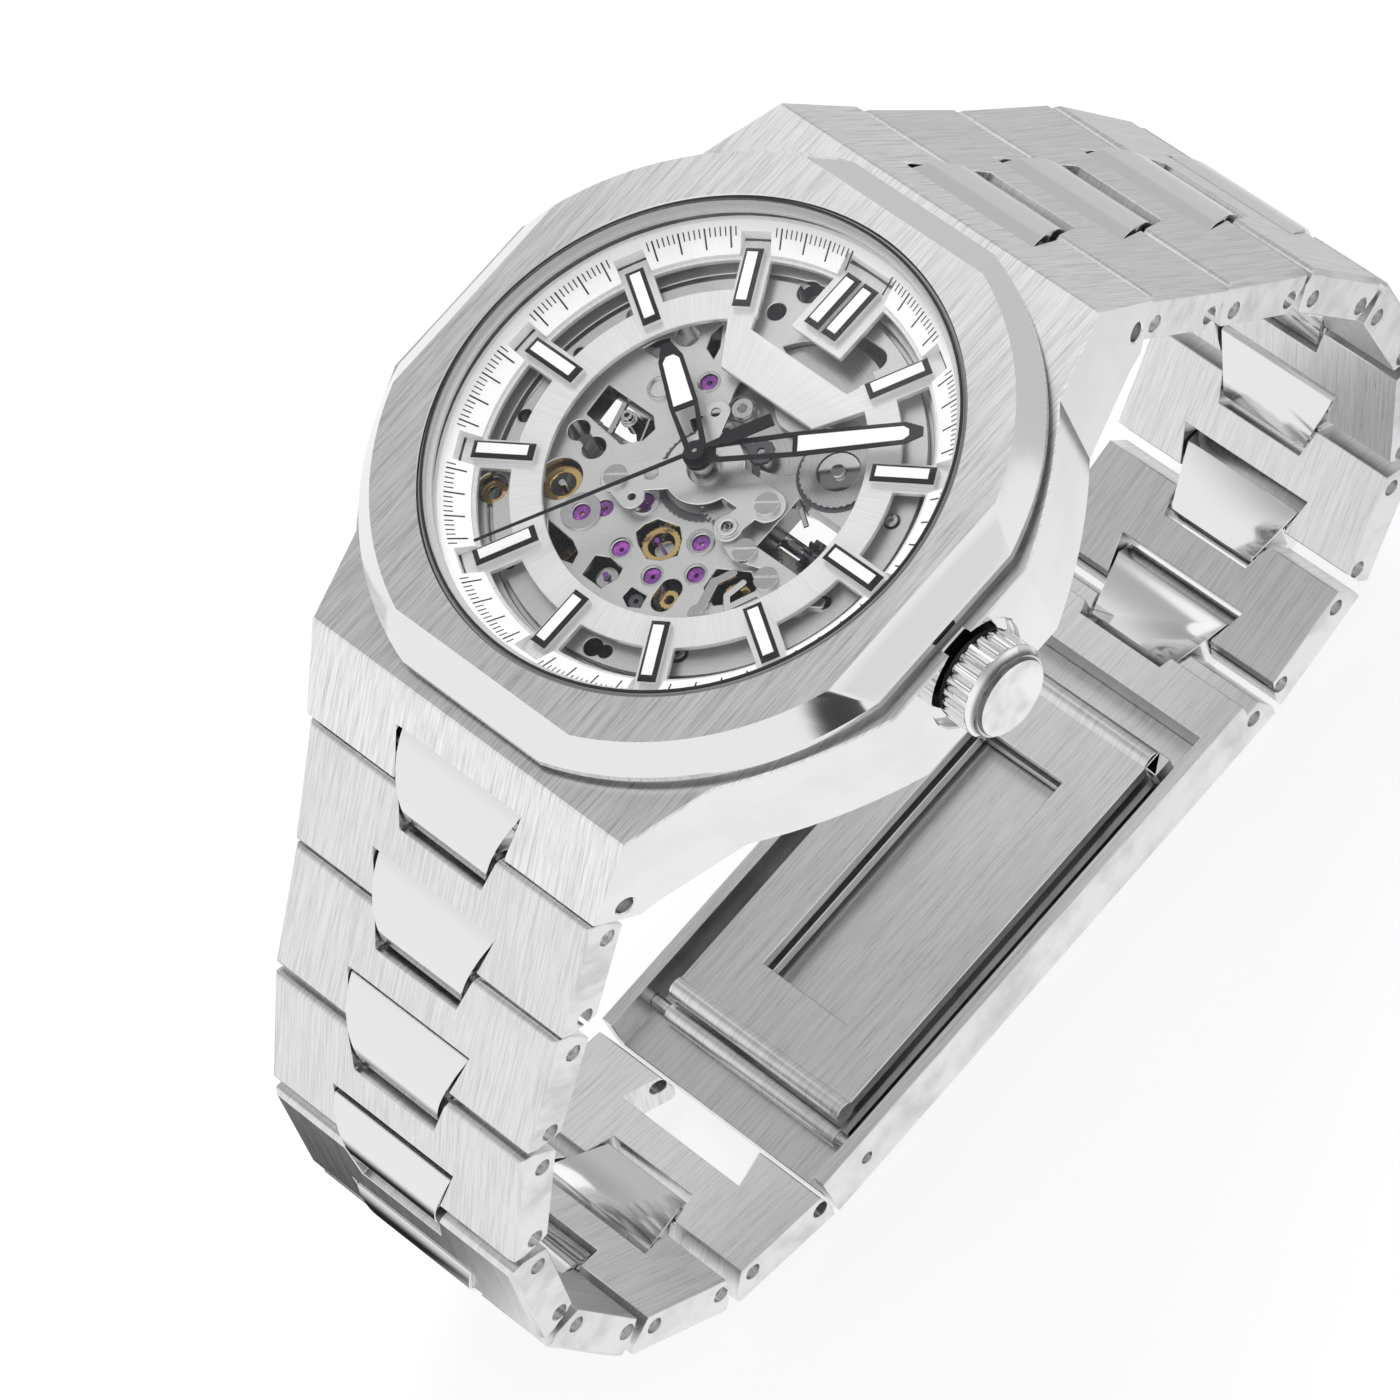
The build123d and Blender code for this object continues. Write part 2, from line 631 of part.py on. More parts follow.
def make_center_wheel():
    """Centre wheel on a hollow arbor; the cannon pinion is pushed on above the plate."""
    wheel = gear(CENTER_TEETH, MOD_CENTER, CENTER_Z, WHEEL_T, CENTER_TURN)
    wheel = spoked(wheel, 1.2, 3.3, 4, CENTER_Z, WHEEL_T, turn=45)
    pinion = gear(CENTER_PINION_TEETH, MOD_BARREL, BARREL_GEAR_Z - 0.23, 0.6, CENTER_TURN)
    tube = disc(CENTER_TUBE_R, CENTER_Z - 0.02, 8.4 - CENTER_Z)
    return wheel + pinion + tube - disc(SECOND_ARBOR_R + RUN_GAP, 0, 12)


def make_third_wheel():
    wheel = gear(THIRD_TEETH, MOD_THIRD, THIRD_Z, WHEEL_T, THIRD_TURN, at=THIRD_XY)
    wheel = spoked(wheel, 0.8, 3.3, 4, THIRD_Z, WHEEL_T, at=THIRD_XY, turn=20)
    pinion = gear(THIRD_PINION_TEETH, MOD_CENTER, THIRD_Z + WHEEL_T, 0.55, THIRD_TURN, at=THIRD_XY)
    return wheel + pinion + staff(THIRD_XY, BRIDGE_Z + 0.2, PLATE_TOP - 0.3)


def make_escape_wheel():
    """Escape wheel with raked teeth on a pinion driven by the fourth wheel."""
    points = []
    step = 360.0 / ESCAPE_TEETH
    for i in range(ESCAPE_TEETH):
        points.append(polar(ESCAPE_R - 0.45, i * step - 0.30 * step))
        points.append(polar(ESCAPE_R - 0.42, i * step + 0.12 * step))
        points.append(polar(ESCAPE_R, i * step + 0.38 * step))
        points.append(polar(ESCAPE_R - 0.06, i * step + 0.48 * step))
    wheel = Pos(ESCAPE_XY[0], ESCAPE_XY[1], ESCAPE_Z) * slab(points, 0, WHEEL_T)
    wheel = spoked(wheel, 0.5, ESCAPE_R - 0.7, 4, ESCAPE_Z, WHEEL_T, at=ESCAPE_XY, arm=0.35)
    pinion = gear(ESCAPE_PINION_TEETH, MOD_ESCAPE, FOURTH_Z - 0.08, 0.35, ESCAPE_PINION_TURN, at=ESCAPE_XY)
    return wheel + pinion + staff(ESCAPE_XY, BRIDGE_Z + 0.2, PLATE_TOP - 0.3)


def make_barrel():
    """Barrel drum with its toothed rim, open at the back where the lid sits."""
    drum = disc(DRUM_R, DRUM_Z, DRUM_TOP - DRUM_Z, BARREL_XY)
    teeth = gear(BARREL_TEETH, MOD_BARREL, BARREL_GEAR_Z, BARREL_GEAR_T, CENTER_TURN_BARREL, at=BARREL_XY)
    body = drum + teeth - disc(DRUM_R - 0.35, DRUM_Z + 0.25, DRUM_TOP - DRUM_Z - 0.5, BARREL_XY)
    return body - disc(0.75 + RUN_GAP, DRUM_Z - 1, 5, BARREL_XY)


def make_mainspring():
    """Coiled strip drawn as nested turns joined by a radial end."""
    low = DRUM_Z + 0.32
    body = ring(1.05, 0.8, low, 1.15, BARREL_XY)
    for i in range(7):
        body = body + ring(1.5 + 0.45 * i, 1.35 + 0.45 * i, low, 1.15, BARREL_XY)
    spur = bar(BARREL_XY[0] + 0.9, BARREL_XY[0] + DRUM_R - 0.5, BARREL_XY[1] - 0.1, BARREL_XY[1] + 0.1, low, low + 1.15)
    return body + spur


def make_ratchet_wheel():
    """Ratchet wheel on the square of the barrel arbor, at the back of the barrel bridge."""
    points = []
    teeth = 36
    radius = RATCHET_R
    for i in range(teeth):
        points.append(polar(radius - 0.35, i * 360.0 / teeth))
        points.append(polar(radius, (i + 0.35) * 360.0 / teeth))
        points.append(polar(radius, (i + 0.5) * 360.0 / teeth))
    low = BRIDGE_Z + BRIDGE_T + 0.1
    wheel = Pos(BARREL_XY[0], BARREL_XY[1], low) * slab(points, 0, 0.4)
    wheel = wheel - ring(RATCHET_R - 0.8, 1.3, low - 0.2, 0.35, BARREL_XY)
    arbor = disc(0.75, BRIDGE_Z + 0.1, DRUM_TOP + 0.35 - BRIDGE_Z - 0.1, BARREL_XY)
    return wheel + arbor


def make_cannon_pinion():
    pinion = gear(CANNON_TEETH, MOD_MINUTE, CANNON_Z, 0.25, CENTER_TURN)
    pipe = disc(CANNON_R, CANNON_Z, MINUTE_Z + HAND_T - CANNON_Z)
    return pinion + pipe - disc(CENTER_TUBE_R, 6, 2.4) - disc(SECOND_ARBOR_R + RUN_GAP, 6, 6)


def make_minute_wheel():
    wheel = gear(MINUTE_TEETH, MOD_MINUTE, CANNON_Z + 0.05, 0.14, MINUTE_TURN, at=MINUTE_XY)
    pinion = gear(MINUTE_PINION_TEETH, MOD_HOUR, CANNON_Z + 0.19, 0.35, MINUTE_TURN, at=MINUTE_XY)
    body = wheel + pinion
    return body - disc(0.22 + RUN_GAP, 6, 4, MINUTE_XY)


def make_hour_wheel():
    wheel = gear(HOUR_TEETH, MOD_HOUR, HOUR_WHEEL_Z, 0.14, HOUR_TURN)
    wheel = spoked(wheel, 1.0, 1.45, 4, HOUR_WHEEL_Z, 0.14, arm=0.5)
    pipe = disc(HOUR_PIPE_R, HOUR_WHEEL_Z, HOUR_Z + HAND_T - HOUR_WHEEL_Z)
    return wheel + pipe - disc(CANNON_R + RUN_GAP, 6, 6)


def make_balance():
    """Balance wheel, staff and roller with its impulse pin."""
    rim = ring(BALANCE_R, BALANCE_R - 0.5, BALANCE_Z, 0.3, BALANCE_XY)
    arms = disc(0.55, BALANCE_Z, 0.2, BALANCE_XY)
    for turn in (20, 140, 260):
        end = polar(BALANCE_R - 0.3, turn)
        arms = arms + capsule(BALANCE_XY, (BALANCE_XY[0] + end[0], BALANCE_XY[1] + end[1]), 0.22, BALANCE_Z, 0.2)
    body = rim + arms + staff(BALANCE_XY, BRIDGE_Z + 0.2, PLATE_TOP - 0.3)
    roller = disc(0.5, ESCAPE_Z + WHEEL_T + 0.1, 0.12, BALANCE_XY)
    return body + roller


def make_hairspring():
    """Flat spring coiled about the balance staff, drawn with its real pitch."""
    turns = 9
    inner = 0.45
    pitch = 0.19
    half = 0.035
    steps = 14
    outer_side = []
    inner_side = []
    for i in range(turns * steps + 1):
        angle = 360.0 * i / steps
        radius = inner + pitch * i / steps
        outer_side.append(polar(radius + half, angle))
        inner_side.append(polar(radius - half, angle))
    coil = slab(outer_side + inner_side[::-1], 0, 0.2)
    coil = Pos(BALANCE_XY[0], BALANCE_XY[1], HAIRSPRING_Z) * coil
    collet = ring(0.47, ARBOR_R + SEAT_GAP, HAIRSPRING_Z, 0.2, BALANCE_XY)
    return coil + collet


def make_pallet_fork():
    """Pallet fork: two arms with stones beside the escape wheel and a forked lever."""
    z = ESCAPE_Z
    away = BALANCE_TURN
    toward = BALANCE_TURN + 180
    lever_end = (PALLET_XY[0] + polar(0.72, away)[0], PALLET_XY[1] + polar(0.72, away)[1])
    body = disc(0.34, z, WHEEL_T, PALLET_XY) + capsule(PALLET_XY, lever_end, 0.13, z, WHEEL_T)
    for side in (1, -1):
        turn = toward + side * 68
        tip = (PALLET_XY[0] + polar(1.35, turn)[0], PALLET_XY[1] + polar(1.35, turn)[1])
        body = body + capsule(PALLET_XY, tip, 0.17, z, WHEEL_T)
        horn_base = (lever_end[0] + polar(0.12, away + side * 90)[0], lever_end[1] + polar(0.12, away + side * 90)[1])
        horn = (horn_base[0] + polar(0.12, away)[0], horn_base[1] + polar(0.12, away)[1])
        body = body + capsule(horn_base, horn, 0.07, z, WHEEL_T)
    return body + staff(PALLET_XY, PLATE_Z - 0.2, PLATE_TOP - 0.4, 0.15)


# ---- plates, bridges and jewels ----
PILLAR_R = 1.3
TRAIN_PILLARS = [(10.0, -5.6), (4.6, -12.0), (-7.9, 2.4)]
BARREL_PILLARS = [(-6.3, 9.6), (9.3, 9.4)]
COCK_PILLAR = (-9.2, -9.6)
MINUTE_PILLARS = [(4.98, 0.28), (-4.05, -3.5)]
KEYLESS_WINDOW = (5.7, 10.3, -1.9, 1.9)
PLATE_HOLES = [
    (-8.5, 7.9, 0.65), (-6.8, 8.3, 0.42), (-4.1, 10.4, 0.6), (-7.6, 6.2, 0.75), (-8.8, -2.25, 0.7),
    (-7.2, -2.6, 0.75), (-7.5, -5.3, 1.4), (-10.6, -8.1, 1.0), (-6.1, -11.2, 0.35), (6.6, -9.7, 0.6),
    (11.4, 3.9, 0.5), (11.6, -2.3, 0.45), (2.0, -12.3, 0.6), (2.8, -12.1, 0.45), (-12.4, 1.6, 0.4),
    (-3.3, 12.5, 0.75), (-11.2, 5.4, 0.6), (-12.3, -3.4, 0.45), (9.0, 6.6, 0.45), (-1.9, 12.9, 0.5),
]
# openings of the plate, each an outline from twelve o'clock's left side round
LEVER_WINDOW = [(4.7, -4.3), (6.6, -3.3), (7.6, -3.9), (7.7, -4.9), (6.2, -6.2), (4.9, -5.7)]
FORK_WINDOW = [(-9.4, 1.0), (-5.6, 1.0), (-4.9, 0.4), (-5.0, -0.6), (-5.9, -1.5), (-9.2, -1.2)]
SPRING_WINDOW = [(-6.2, -7.7), (-3.9, -7.9), (-3.1, -8.3), (-2.9, -9.0), (-3.7, -9.2), (-5.2, -8.7)]
WHEEL_WINDOW = [(-1.0, -4.6), (-0.6, -3.9), (0.9, -3.5), (1.6, -4.1), (2.1, -5.0), (1.5, -5.8), (0.7, -6.2),
                (-0.4, -5.8), (-1.1, -5.3)]
STAFF_WINDOW = [(-2.1, -7.8), (-1.2, -7.4), (-0.1, -7.5), (0.1, -8.2), (-0.3, -9.2), (-1.9, -9.2)]
TOOTH_WINDOW = [(1.2, -8.1), (2.4, -8.0), (2.6, -8.8), (1.9, -9.2), (1.2, -8.9)]
CRESCENT_WINDOW = [(-6.3, 8.0), (-6.4, 7.0), (-6.0, 6.2), (-5.1, 5.9), (-5.3, 6.6)]
POST_WINDOW = [(-9.3, 4.0), (-8.9, 4.9), (-8.4, 5.5), (-8.0, 5.1), (-8.1, 4.0)]
PLATE_WINDOWS = [LEVER_WINDOW, FORK_WINDOW, SPRING_WINDOW, WHEEL_WINDOW, STAFF_WINDOW, TOOTH_WINDOW,
                 CRESCENT_WINDOW, POST_WINDOW]
PLATE_SLOTS = [((1.7, 11.3), (3.1, 11.3), 0.8), ((3.3, -6.9), (3.4, -7.7), 0.72), ((-8.8, -2.25), (-7.2, -2.6), 0.35)]
# jewels of the winding work, by place
WINDING_JEWELS = [(-4.3, 4.6), (1.75, -6.85), (-1.1, -6.6), (3.9, -5.3)]
GROOVE_R = 13.4
GROOVE_W = 0.32
EYELET_AT = (-6.5, 2.6)


def offset_from(at, radius, degrees):
    """Point at a distance and direction from another point."""
    shift = polar(radius, degrees)
    return (at[0] + shift[0], at[1] + shift[1])


def pivots():
    """Places of the jewelled pivots in the plate."""
    return [THIRD_XY, ESCAPE_XY, BALANCE_XY, PALLET_XY]


def make_main_plate():
    body = disc(PLATE_R - SEAT_GAP, PLATE_Z, PLATE_T)
    body = chamfer(body.edges().group_by(Axis.Z)[-1], 0.15)
    # barrel pocket from the back, open above except for the arm that holds its arbor
    body = body - disc(DRUM_R + 0.2, PLATE_Z - 1, DRUM_TOP + 0.1 - PLATE_Z + 1, BARREL_XY)
    window = disc(DRUM_R - 0.5, PLATE_Z, 5, BARREL_XY)
    arm_a = (BARREL_XY[0] + polar(8, 160)[0], BARREL_XY[1] + polar(8, 160)[1])
    arm_b = (BARREL_XY[0] + polar(8, 20)[0], BARREL_XY[1] + polar(8, 20)[1])
    window = window - capsule(BARREL_XY, arm_a, 0.9, PLATE_Z - 1, 8)
    window = window - capsule(BARREL_XY, arm_b, 0.9, PLATE_Z - 1, 8) - disc(1.7, PLATE_Z - 1, 8, BARREL_XY)
    body = body - window - disc(0.75 + RUN_GAP, 4, 5, BARREL_XY)
    # escapement pocket, cut from the back
    low = PLATE_Z - 1
    deep = POCKET_TOP - low
    pocket = disc(ESCAPE_R + 0.25, low, deep, ESCAPE_XY) + capsule(ESCAPE_XY, BALANCE_XY, 1.1, low, deep)
    body = body - pocket - capsule(PALLET_XY, ESCAPE_XY, 1.65, low, deep)
    # view of the centre wheel, and of the barrel's edge and teeth
    body = body - (ring(4.1, 2.7, low, 5) & slab([(0, 0), polar(9, 112), polar(9, 150)], low, 6))
    sector = slab([BARREL_XY] + [offset_from(BARREL_XY, 12, turn) for turn in (-44, -10, 24)], low, 6)
    body = body - (ring(DRUM_R + 0.95, DRUM_R - 0.6, low, 5, BARREL_XY) & sector)
    for outline in PLATE_WINDOWS:
        body = body - slab(outline, low, 5)
    for a, b, radius in PLATE_SLOTS:
        body = body - capsule(a, b, radius, low, 5)
    body = body - ring(GROOVE_R + GROOVE_W / 2, GROOVE_R - GROOVE_W / 2, PLATE_TOP - 0.5, 2)
    # winding works
    x0, x1, y0, y1 = KEYLESS_WINDOW
    body = body - bar(x0, x1, y0, y1, low, PLATE_TOP + 1)
    body = body - x_cylinder(1.45, x1 - 0.5, PLATE_R + 1, 0, STEM_Z)
    for x, y, radius in PLATE_HOLES:
        body = body - disc(radius, low, 5, (x, y))
    # minute work recess and centre hole
    body = body - disc(2.6, PLATE_TOP - 0.12, 2) - disc(CENTER_TUBE_R + RUN_GAP, low, 5)
    for at in pivots() + WINDING_JEWELS:
        body = body - disc(ARBOR_R + 0.1, low, 2.5, at)
        body = body - disc(JEWEL_R, PLATE_TOP - 0.5, 2, at)
    body = body - disc(0.22, PLATE_TOP - 0.8, 2, MINUTE_XY)
    for at in MINUTE_PILLARS + COVER_SCREWS:
        body = body - disc(0.37, PLATE_TOP - 0.9, 2, at)
    for at in TRAIN_PILLARS + BARREL_PILLARS + [COCK_PILLAR]:
        body = body - disc(0.37, low, 1.75, at)
    for side in (1, -1):
        foot = pallet_foot(side)
        body = body - disc(0.22, low, 1.45, foot)
    return body


def pallet_foot(side):
    shift = polar(2.45, BALANCE_TURN + side * 90)
    return (PALLET_XY[0] + shift[0], PALLET_XY[1] + shift[1])


COVER_SCREWS = [(5.75, -2.65), (8.1, -3.3)]
LEVER_PIVOT = (10.2, -3.4)
YOKE_PIVOT = (5.9, -7.2)
TUBE_AT = (3.95, -2.15)


def bridge_seat(body, at):
    """Pillar up to the plate with a countersunk screw hole."""
    body = body + disc(PILLAR_R, BRIDGE_Z, PLATE_Z - BRIDGE_Z, at)
    body = body - disc(SCREW_R + SEAT_GAP, BRIDGE_Z - 1, 1.32, at)
    return body - disc(0.37, BRIDGE_Z, 4, at)


def jewel_hole(body, at):
    body = body - disc(JEWEL_R, BRIDGE_Z - 1, 1.42, at)
    return body - disc(ARBOR_R + 0.1, BRIDGE_Z, 2, at)


def make_train_bridge():
    outline = [(-8.9, 1.2), (-7.2, 3.7), (-2.2, 1.9), (1.6, 0.4), (11.2, -4.6), (11.0, -7.0), (6.2, -13.0),
               (3.4, -13.0), (-0.6, -8.6), (-3.7, -3.4)]
    body = slab(outline, BRIDGE_Z, BRIDGE_T)
    body = body - ring(3.0, 1.5, BRIDGE_Z - 1, 5, (5.4, -8.0))
    for at in TRAIN_PILLARS:
        body = bridge_seat(body, at)
    for at in (THIRD_XY, ESCAPE_XY):
        body = jewel_hole(body, at)
    return body - disc(SECOND_ARBOR_R + RUN_GAP, 0, 9)


def make_barrel_bridge():
    outline = [(-7.6, 8.6), (-7.2, 10.9), (-3.8, 13.2), (1.0, 13.6), (6.0, 12.7), (10.4, 10.4), (10.5, 8.4),
               (7.6, 3.2), (3.6, 2.1), (-1.4, 2.5), (-4.9, 5.0)]
    body = slab(outline, BRIDGE_Z, BRIDGE_T)
    for at in BARREL_PILLARS:
        body = bridge_seat(body, at)
    return body - disc(0.75 + RUN_GAP, 0, 9, BARREL_XY)


def make_balance_cock():
    body = capsule(BALANCE_XY, COCK_PILLAR, PILLAR_R, BRIDGE_Z, BRIDGE_T)
    body = bridge_seat(body, COCK_PILLAR)
    return jewel_hole(body, BALANCE_XY)


def make_pallet_bridge():
    low = PLATE_Z - 0.3
    body = capsule(pallet_foot(1), pallet_foot(-1), 0.45, low, 0.2)
    for side in (1, -1):
        body = body + disc(0.45, low, 0.3, pallet_foot(side)) + disc(0.2, low, 0.7, pallet_foot(side))
    return body - disc(PIVOT_R + 0.03, low - 1, 2, PALLET_XY)


def jewel(z, at):
    return disc(JEWEL_R - SEAT_GAP, z, 0.36, at) - disc(PIVOT_R + 0.03, z - 1, 3, at)


def make_jewels():
    stones = [jewel(PLATE_TOP - 0.5, at) for at in pivots() + WINDING_JEWELS]
    return stones + [jewel(BRIDGE_Z + 0.05, at) for at in (THIRD_XY, ESCAPE_XY, BALANCE_XY)]


def make_jewel_settings():
    """Raised settings pressed on the plate around the balance and escape jewels."""
    rings = []
    for at, outer in ((BALANCE_XY, 1.25), (ESCAPE_XY, 0.95), (THIRD_XY, 0.85), (EYELET_AT, 0.8)):
        rings.append(ring(outer, JEWEL_R + 0.08, PLATE_TOP, 0.16, at))
    return rings


def screw(at, z, length, up):
    """Slotted screw; the head is on the dial side when up is true."""
    head_t = 0.28
    if up:
        body = disc(SCREW_R, z, head_t, at) + disc(0.35, z - length, length, at)
        return body - Pos(at[0], at[1], z + head_t) * Rot(0, 0, 35) * Box(2, 0.24, 0.24)
    body = disc(SCREW_R, z, head_t, at) + disc(0.35, z + head_t, length, at)
    return body - Pos(at[0], at[1], z) * Rot(0, 0, 70) * Box(2, 0.24, 0.24)


def make_bridge_screws():
    places = TRAIN_PILLARS + BARREL_PILLARS + [COCK_PILLAR]
    return [screw(at, BRIDGE_Z + 0.03, 2.6, False) for at in places]


def make_cover_screws():
    tops = [screw(at, MINUTE_BRIDGE_Z + 0.2, 1.2, True) for at in MINUTE_PILLARS]
    return tops + [screw(at, COVER_Z + 0.22, 0.95, True) for at in COVER_SCREWS]


MINUTE_BRIDGE_Z = 7.72
COVER_Z = 7.38


def make_minute_bridge():
    """Lobed bridge over the minute work, with a post for the minute wheel to turn on."""
    right, left = MINUTE_PILLARS
    z = MINUTE_BRIDGE_Z
    body = disc(2.45, z, 0.2) + capsule((1.0, 0.2), right, 1.1, z, 0.2) + capsule((-0.9, -1.0), left, 1.0, z, 0.2)
    body = body + capsule(left, (-2.4, -3.9), 0.8, z, 0.2) + capsule((4.3, -0.4), TUBE_AT, 0.72, z, 0.2)
    body = body + disc(0.9, z, 0.2, TUBE_AT) + capsule((-1.2, 1.3), (-1.9, 3.2), 0.75, z, 0.2)
    body = body + ring(0.62, 0.36, z + 0.2, 0.22, TUBE_AT)
    body = body - disc(1.05, z - 1, 3) - disc(0.36, z - 1, 3, TUBE_AT) - disc(0.24, z - 1, 3, (-2.4, -3.9))
    body = body - disc(0.3, z - 1, 3, (-2.0, 3.1)) - disc(0.42, z - 1, 3, (-2.45, -2.1))
    for at in MINUTE_PILLARS:
        body = body + disc(0.62, PLATE_TOP, z - PLATE_TOP + 0.2, at)
        body = body - disc(0.37, PLATE_TOP - 1, 3, at)
    return body + disc(0.2, PLATE_TOP - 0.7, z - PLATE_TOP + 0.7, MINUTE_XY)


def make_keyless_cover():
    """Cover plate that holds the setting lever down, with the lever's long spring."""
    outline = [(4.2, -3.1), (4.9, -2.0), (9.4, -2.0), (9.6, -3.9), (8.9, -4.7), (8.0, -4.2), (7.4, -2.9), (5.4, -3.5)]
    body = slab(outline, COVER_Z, 0.22)
    spring = [(8.3, -4.0), (7.3, -6.0), (6.75, -5.4), (7.0, -4.2)]
    for a, b in zip(spring, spring[1:]):
        body = body + capsule(a, b, 0.2, COVER_Z, 0.22)
    for at in COVER_SCREWS:
        body = body + disc(0.65, PLATE_TOP, COVER_Z - PLATE_TOP + 0.22, at) - disc(0.37, 6, 3, at)
    return body


def make_setting_lever():
    """Lever that follows the stem when the crown is pulled."""
    tip = (10.0, -0.9)
    elbow = (11.6, -2.5)
    low = PLATE_TOP + 0.03
    body = disc(0.75, low, 0.25, LEVER_PIVOT) + capsule(LEVER_PIVOT, tip, 0.35, low, 0.25)
    body = body + capsule(LEVER_PIVOT, elbow, 0.3, low, 0.25)
    return body + disc(0.3, low, 0.42, LEVER_PIVOT)


def make_yoke():
    """Yoke that shifts the sliding pinion, a long lever beside its window."""
    low = PLATE_TOP + 0.03
    elbow = (5.35, -5.1)
    tip = (5.9, -4.0)
    body = disc(0.6, low, 0.25, YOKE_PIVOT) + capsule(YOKE_PIVOT, elbow, 0.3, low, 0.25)
    return body + capsule(elbow, tip, 0.24, low, 0.25) + disc(0.3, low, 0.42, YOKE_PIVOT)


WINDING_X = 9.0
SLIDING_X = 7.3


def x_gear(teeth, module, x0, x1, turn=0.0):
    body = Rot(0, 0, turn) * slab(gear_points(teeth, module), 0, x1 - x0)
    return Pos(x0, 0, STEM_Z) * Rot(0, 90, 0) * body


def make_crown():
    """Fluted crown with a plain disc on its end face."""
    end = CROWN_BASE_X + CROWN_LEN
    barrel_end = end - 0.45
    body = x_cylinder(CROWN_R, CROWN_BASE_X, barrel_end, 0, STEM_Z)
    body = chamfer(body.edges().sort_by(Axis.X)[-1], 0.3)
    for i in range(CROWN_FLUTES):
        y, z = polar(CROWN_R + 0.12, 360.0 * i / CROWN_FLUTES)
        body = body - x_cylinder(0.3, CROWN_BASE_X - 1, barrel_end - 0.5, y, STEM_Z + z)
    body = body + x_cylinder(CROWN_DISC_R, barrel_end - 0.1, end, 0, STEM_Z)
    body = body - (x_cylinder(CROWN_DISC_R + 1, end - 0.22, end + 1, 0, STEM_Z)
                   - x_cylinder(CROWN_DISC_R - 0.2, end - 0.5, end + 2, 0, STEM_Z))
    return body - x_cylinder(1.3 + FREE_GAP, CROWN_BASE_X - 1, CROWN_BASE_X + 0.6, 0, STEM_Z)


def make_stem():
    body = x_cylinder(STEM_R, SLIDING_X - 1.9, CROWN_BASE_X + 0.62, 0, STEM_Z)
    groove = x_cylinder(2, 11.4, 12.0, 0, STEM_Z) - x_cylinder(0.3, 11, 12.5, 0, STEM_Z)
    return body - groove


def make_crown_gasket():
    outer = x_cylinder(CROWN_R - 0.12, CROWN_BASE_X - 0.27, CROWN_BASE_X - 0.02, 0, STEM_Z)
    return outer - x_cylinder(1.3 + FREE_GAP, 19, 23, 0, STEM_Z)


def make_winding_pinion():
    body = x_gear(14, 0.16, WINDING_X, WINDING_X + 1.0) + x_cylinder(0.85, WINDING_X, WINDING_X + 1.25, 0, STEM_Z)
    return body - x_cylinder(STEM_R + RUN_GAP, 5, 15, 0, STEM_Z)


def make_sliding_pinion():
    body = x_gear(12, 0.16, SLIDING_X, SLIDING_X + 0.45) + x_gear(12, 0.16, SLIDING_X + 0.95, SLIDING_X + 1.45)
    body = body + x_cylinder(0.7, SLIDING_X, SLIDING_X + 1.45, 0, STEM_Z)
    return body - x_cylinder(STEM_R + RUN_GAP, 5, 15, 0, STEM_Z)


# ---- rotor ----
def make_rotor():
    half_plane = bar(-20, 20, -20, 0.0, 0, 5)
    weight = ring(ROTOR_R, ROTOR_R - 2.4, 1.62, 0.95) & half_plane
    web = (ring(ROTOR_R - 0.5, 2.0, 2.0, 0.3) & half_plane) - disc(2.1, 0, 9)
    for turn in (215, 270, 325):
        x, y = polar(6.6, turn)
        web = web - disc(1.9, 0, 5, (x, y))
    hub = ring(2.9, 1.2 + RUN_GAP, 1.85, 0.6)
    return weight + web + hub


def make_rotor_bearing():
    post = disc(1.2, 1.55, BRIDGE_Z - 1.55)
    head = disc(1.75, 1.42, 0.33) - Pos(0, 0, 1.42) * Box(2.4, 0.35, 0.3)
    return post + head - disc(SECOND_ARBOR_R + RUN_GAP, BRIDGE_Z - 0.5, 2)


# ---- bracelet ----
SLOPES = [math.degrees(HOOD_SLOPE), 50.0, 61.0, 84.0, 112.0, 140.0, 168.0]
WIDTHS = [12.1, 11.4, 10.9, 10.6, 10.3, 10.1, 10.0, 10.0]
CONNECTOR_CROWN = 0.35  # how far the polished centre stands proud
UNDERCUT = 0.75
EDGE = 0.3
CLASP_SIDE_T = 0.9


def turned(slope, y, z):
    """Offset (y, z) of a joint frame on the six side, turned by its slope."""
    turn = math.radians(slope)
    return (-y * math.cos(turn) - z * -math.sin(turn), y * math.sin(turn) + z * math.cos(turn))


def chain_points():
    """Frames down one side: plate origin and slope, then connector origin and slope, per link.

    The last entry is the clasp. A bend is shared by the two pins of the connector between the plates.
    """
    y, z, slope = HOOD_END_Y, HOOD_END_Z, SLOPES[0]
    up, down = PIN_UP, -PIN_DOWN
    offset = turned(slope, up, -PIN_DEPTH)
    pin = (y + offset[0], z + offset[1])
    frames = []
    for lower in SLOPES + [180.0]:
        middle = (slope + lower) / 2
        offset = turned(middle, up, -PIN_DEPTH)
        connector_at = (pin[0] - offset[0], pin[1] - offset[1])
        offset = turned(middle, down, -PIN_DEPTH)
        second_pin = (connector_at[0] + offset[0], connector_at[1] + offset[1])
        offset = turned(lower, down, -PIN_DEPTH)
        plate_at = (second_pin[0] - offset[0], second_pin[1] - offset[1])
        frames.append((plate_at, lower, connector_at, middle, pin))
        offset = turned(lower, up - LINK_PITCH, -PIN_DEPTH)
        pin = (plate_at[0] + offset[0], plate_at[1] + offset[1])
        slope = lower
    return frames


CHAIN = chain_points()


def plate_frame(side, index):
    (y, z), slope = CHAIN[index][:2]
    return joint_frame(side, side * y, z, math.radians(slope))


def connector_frame(side, index):
    (y, z), slope = CHAIN[index][2:4]
    return joint_frame(side, side * y, z, math.radians(slope))


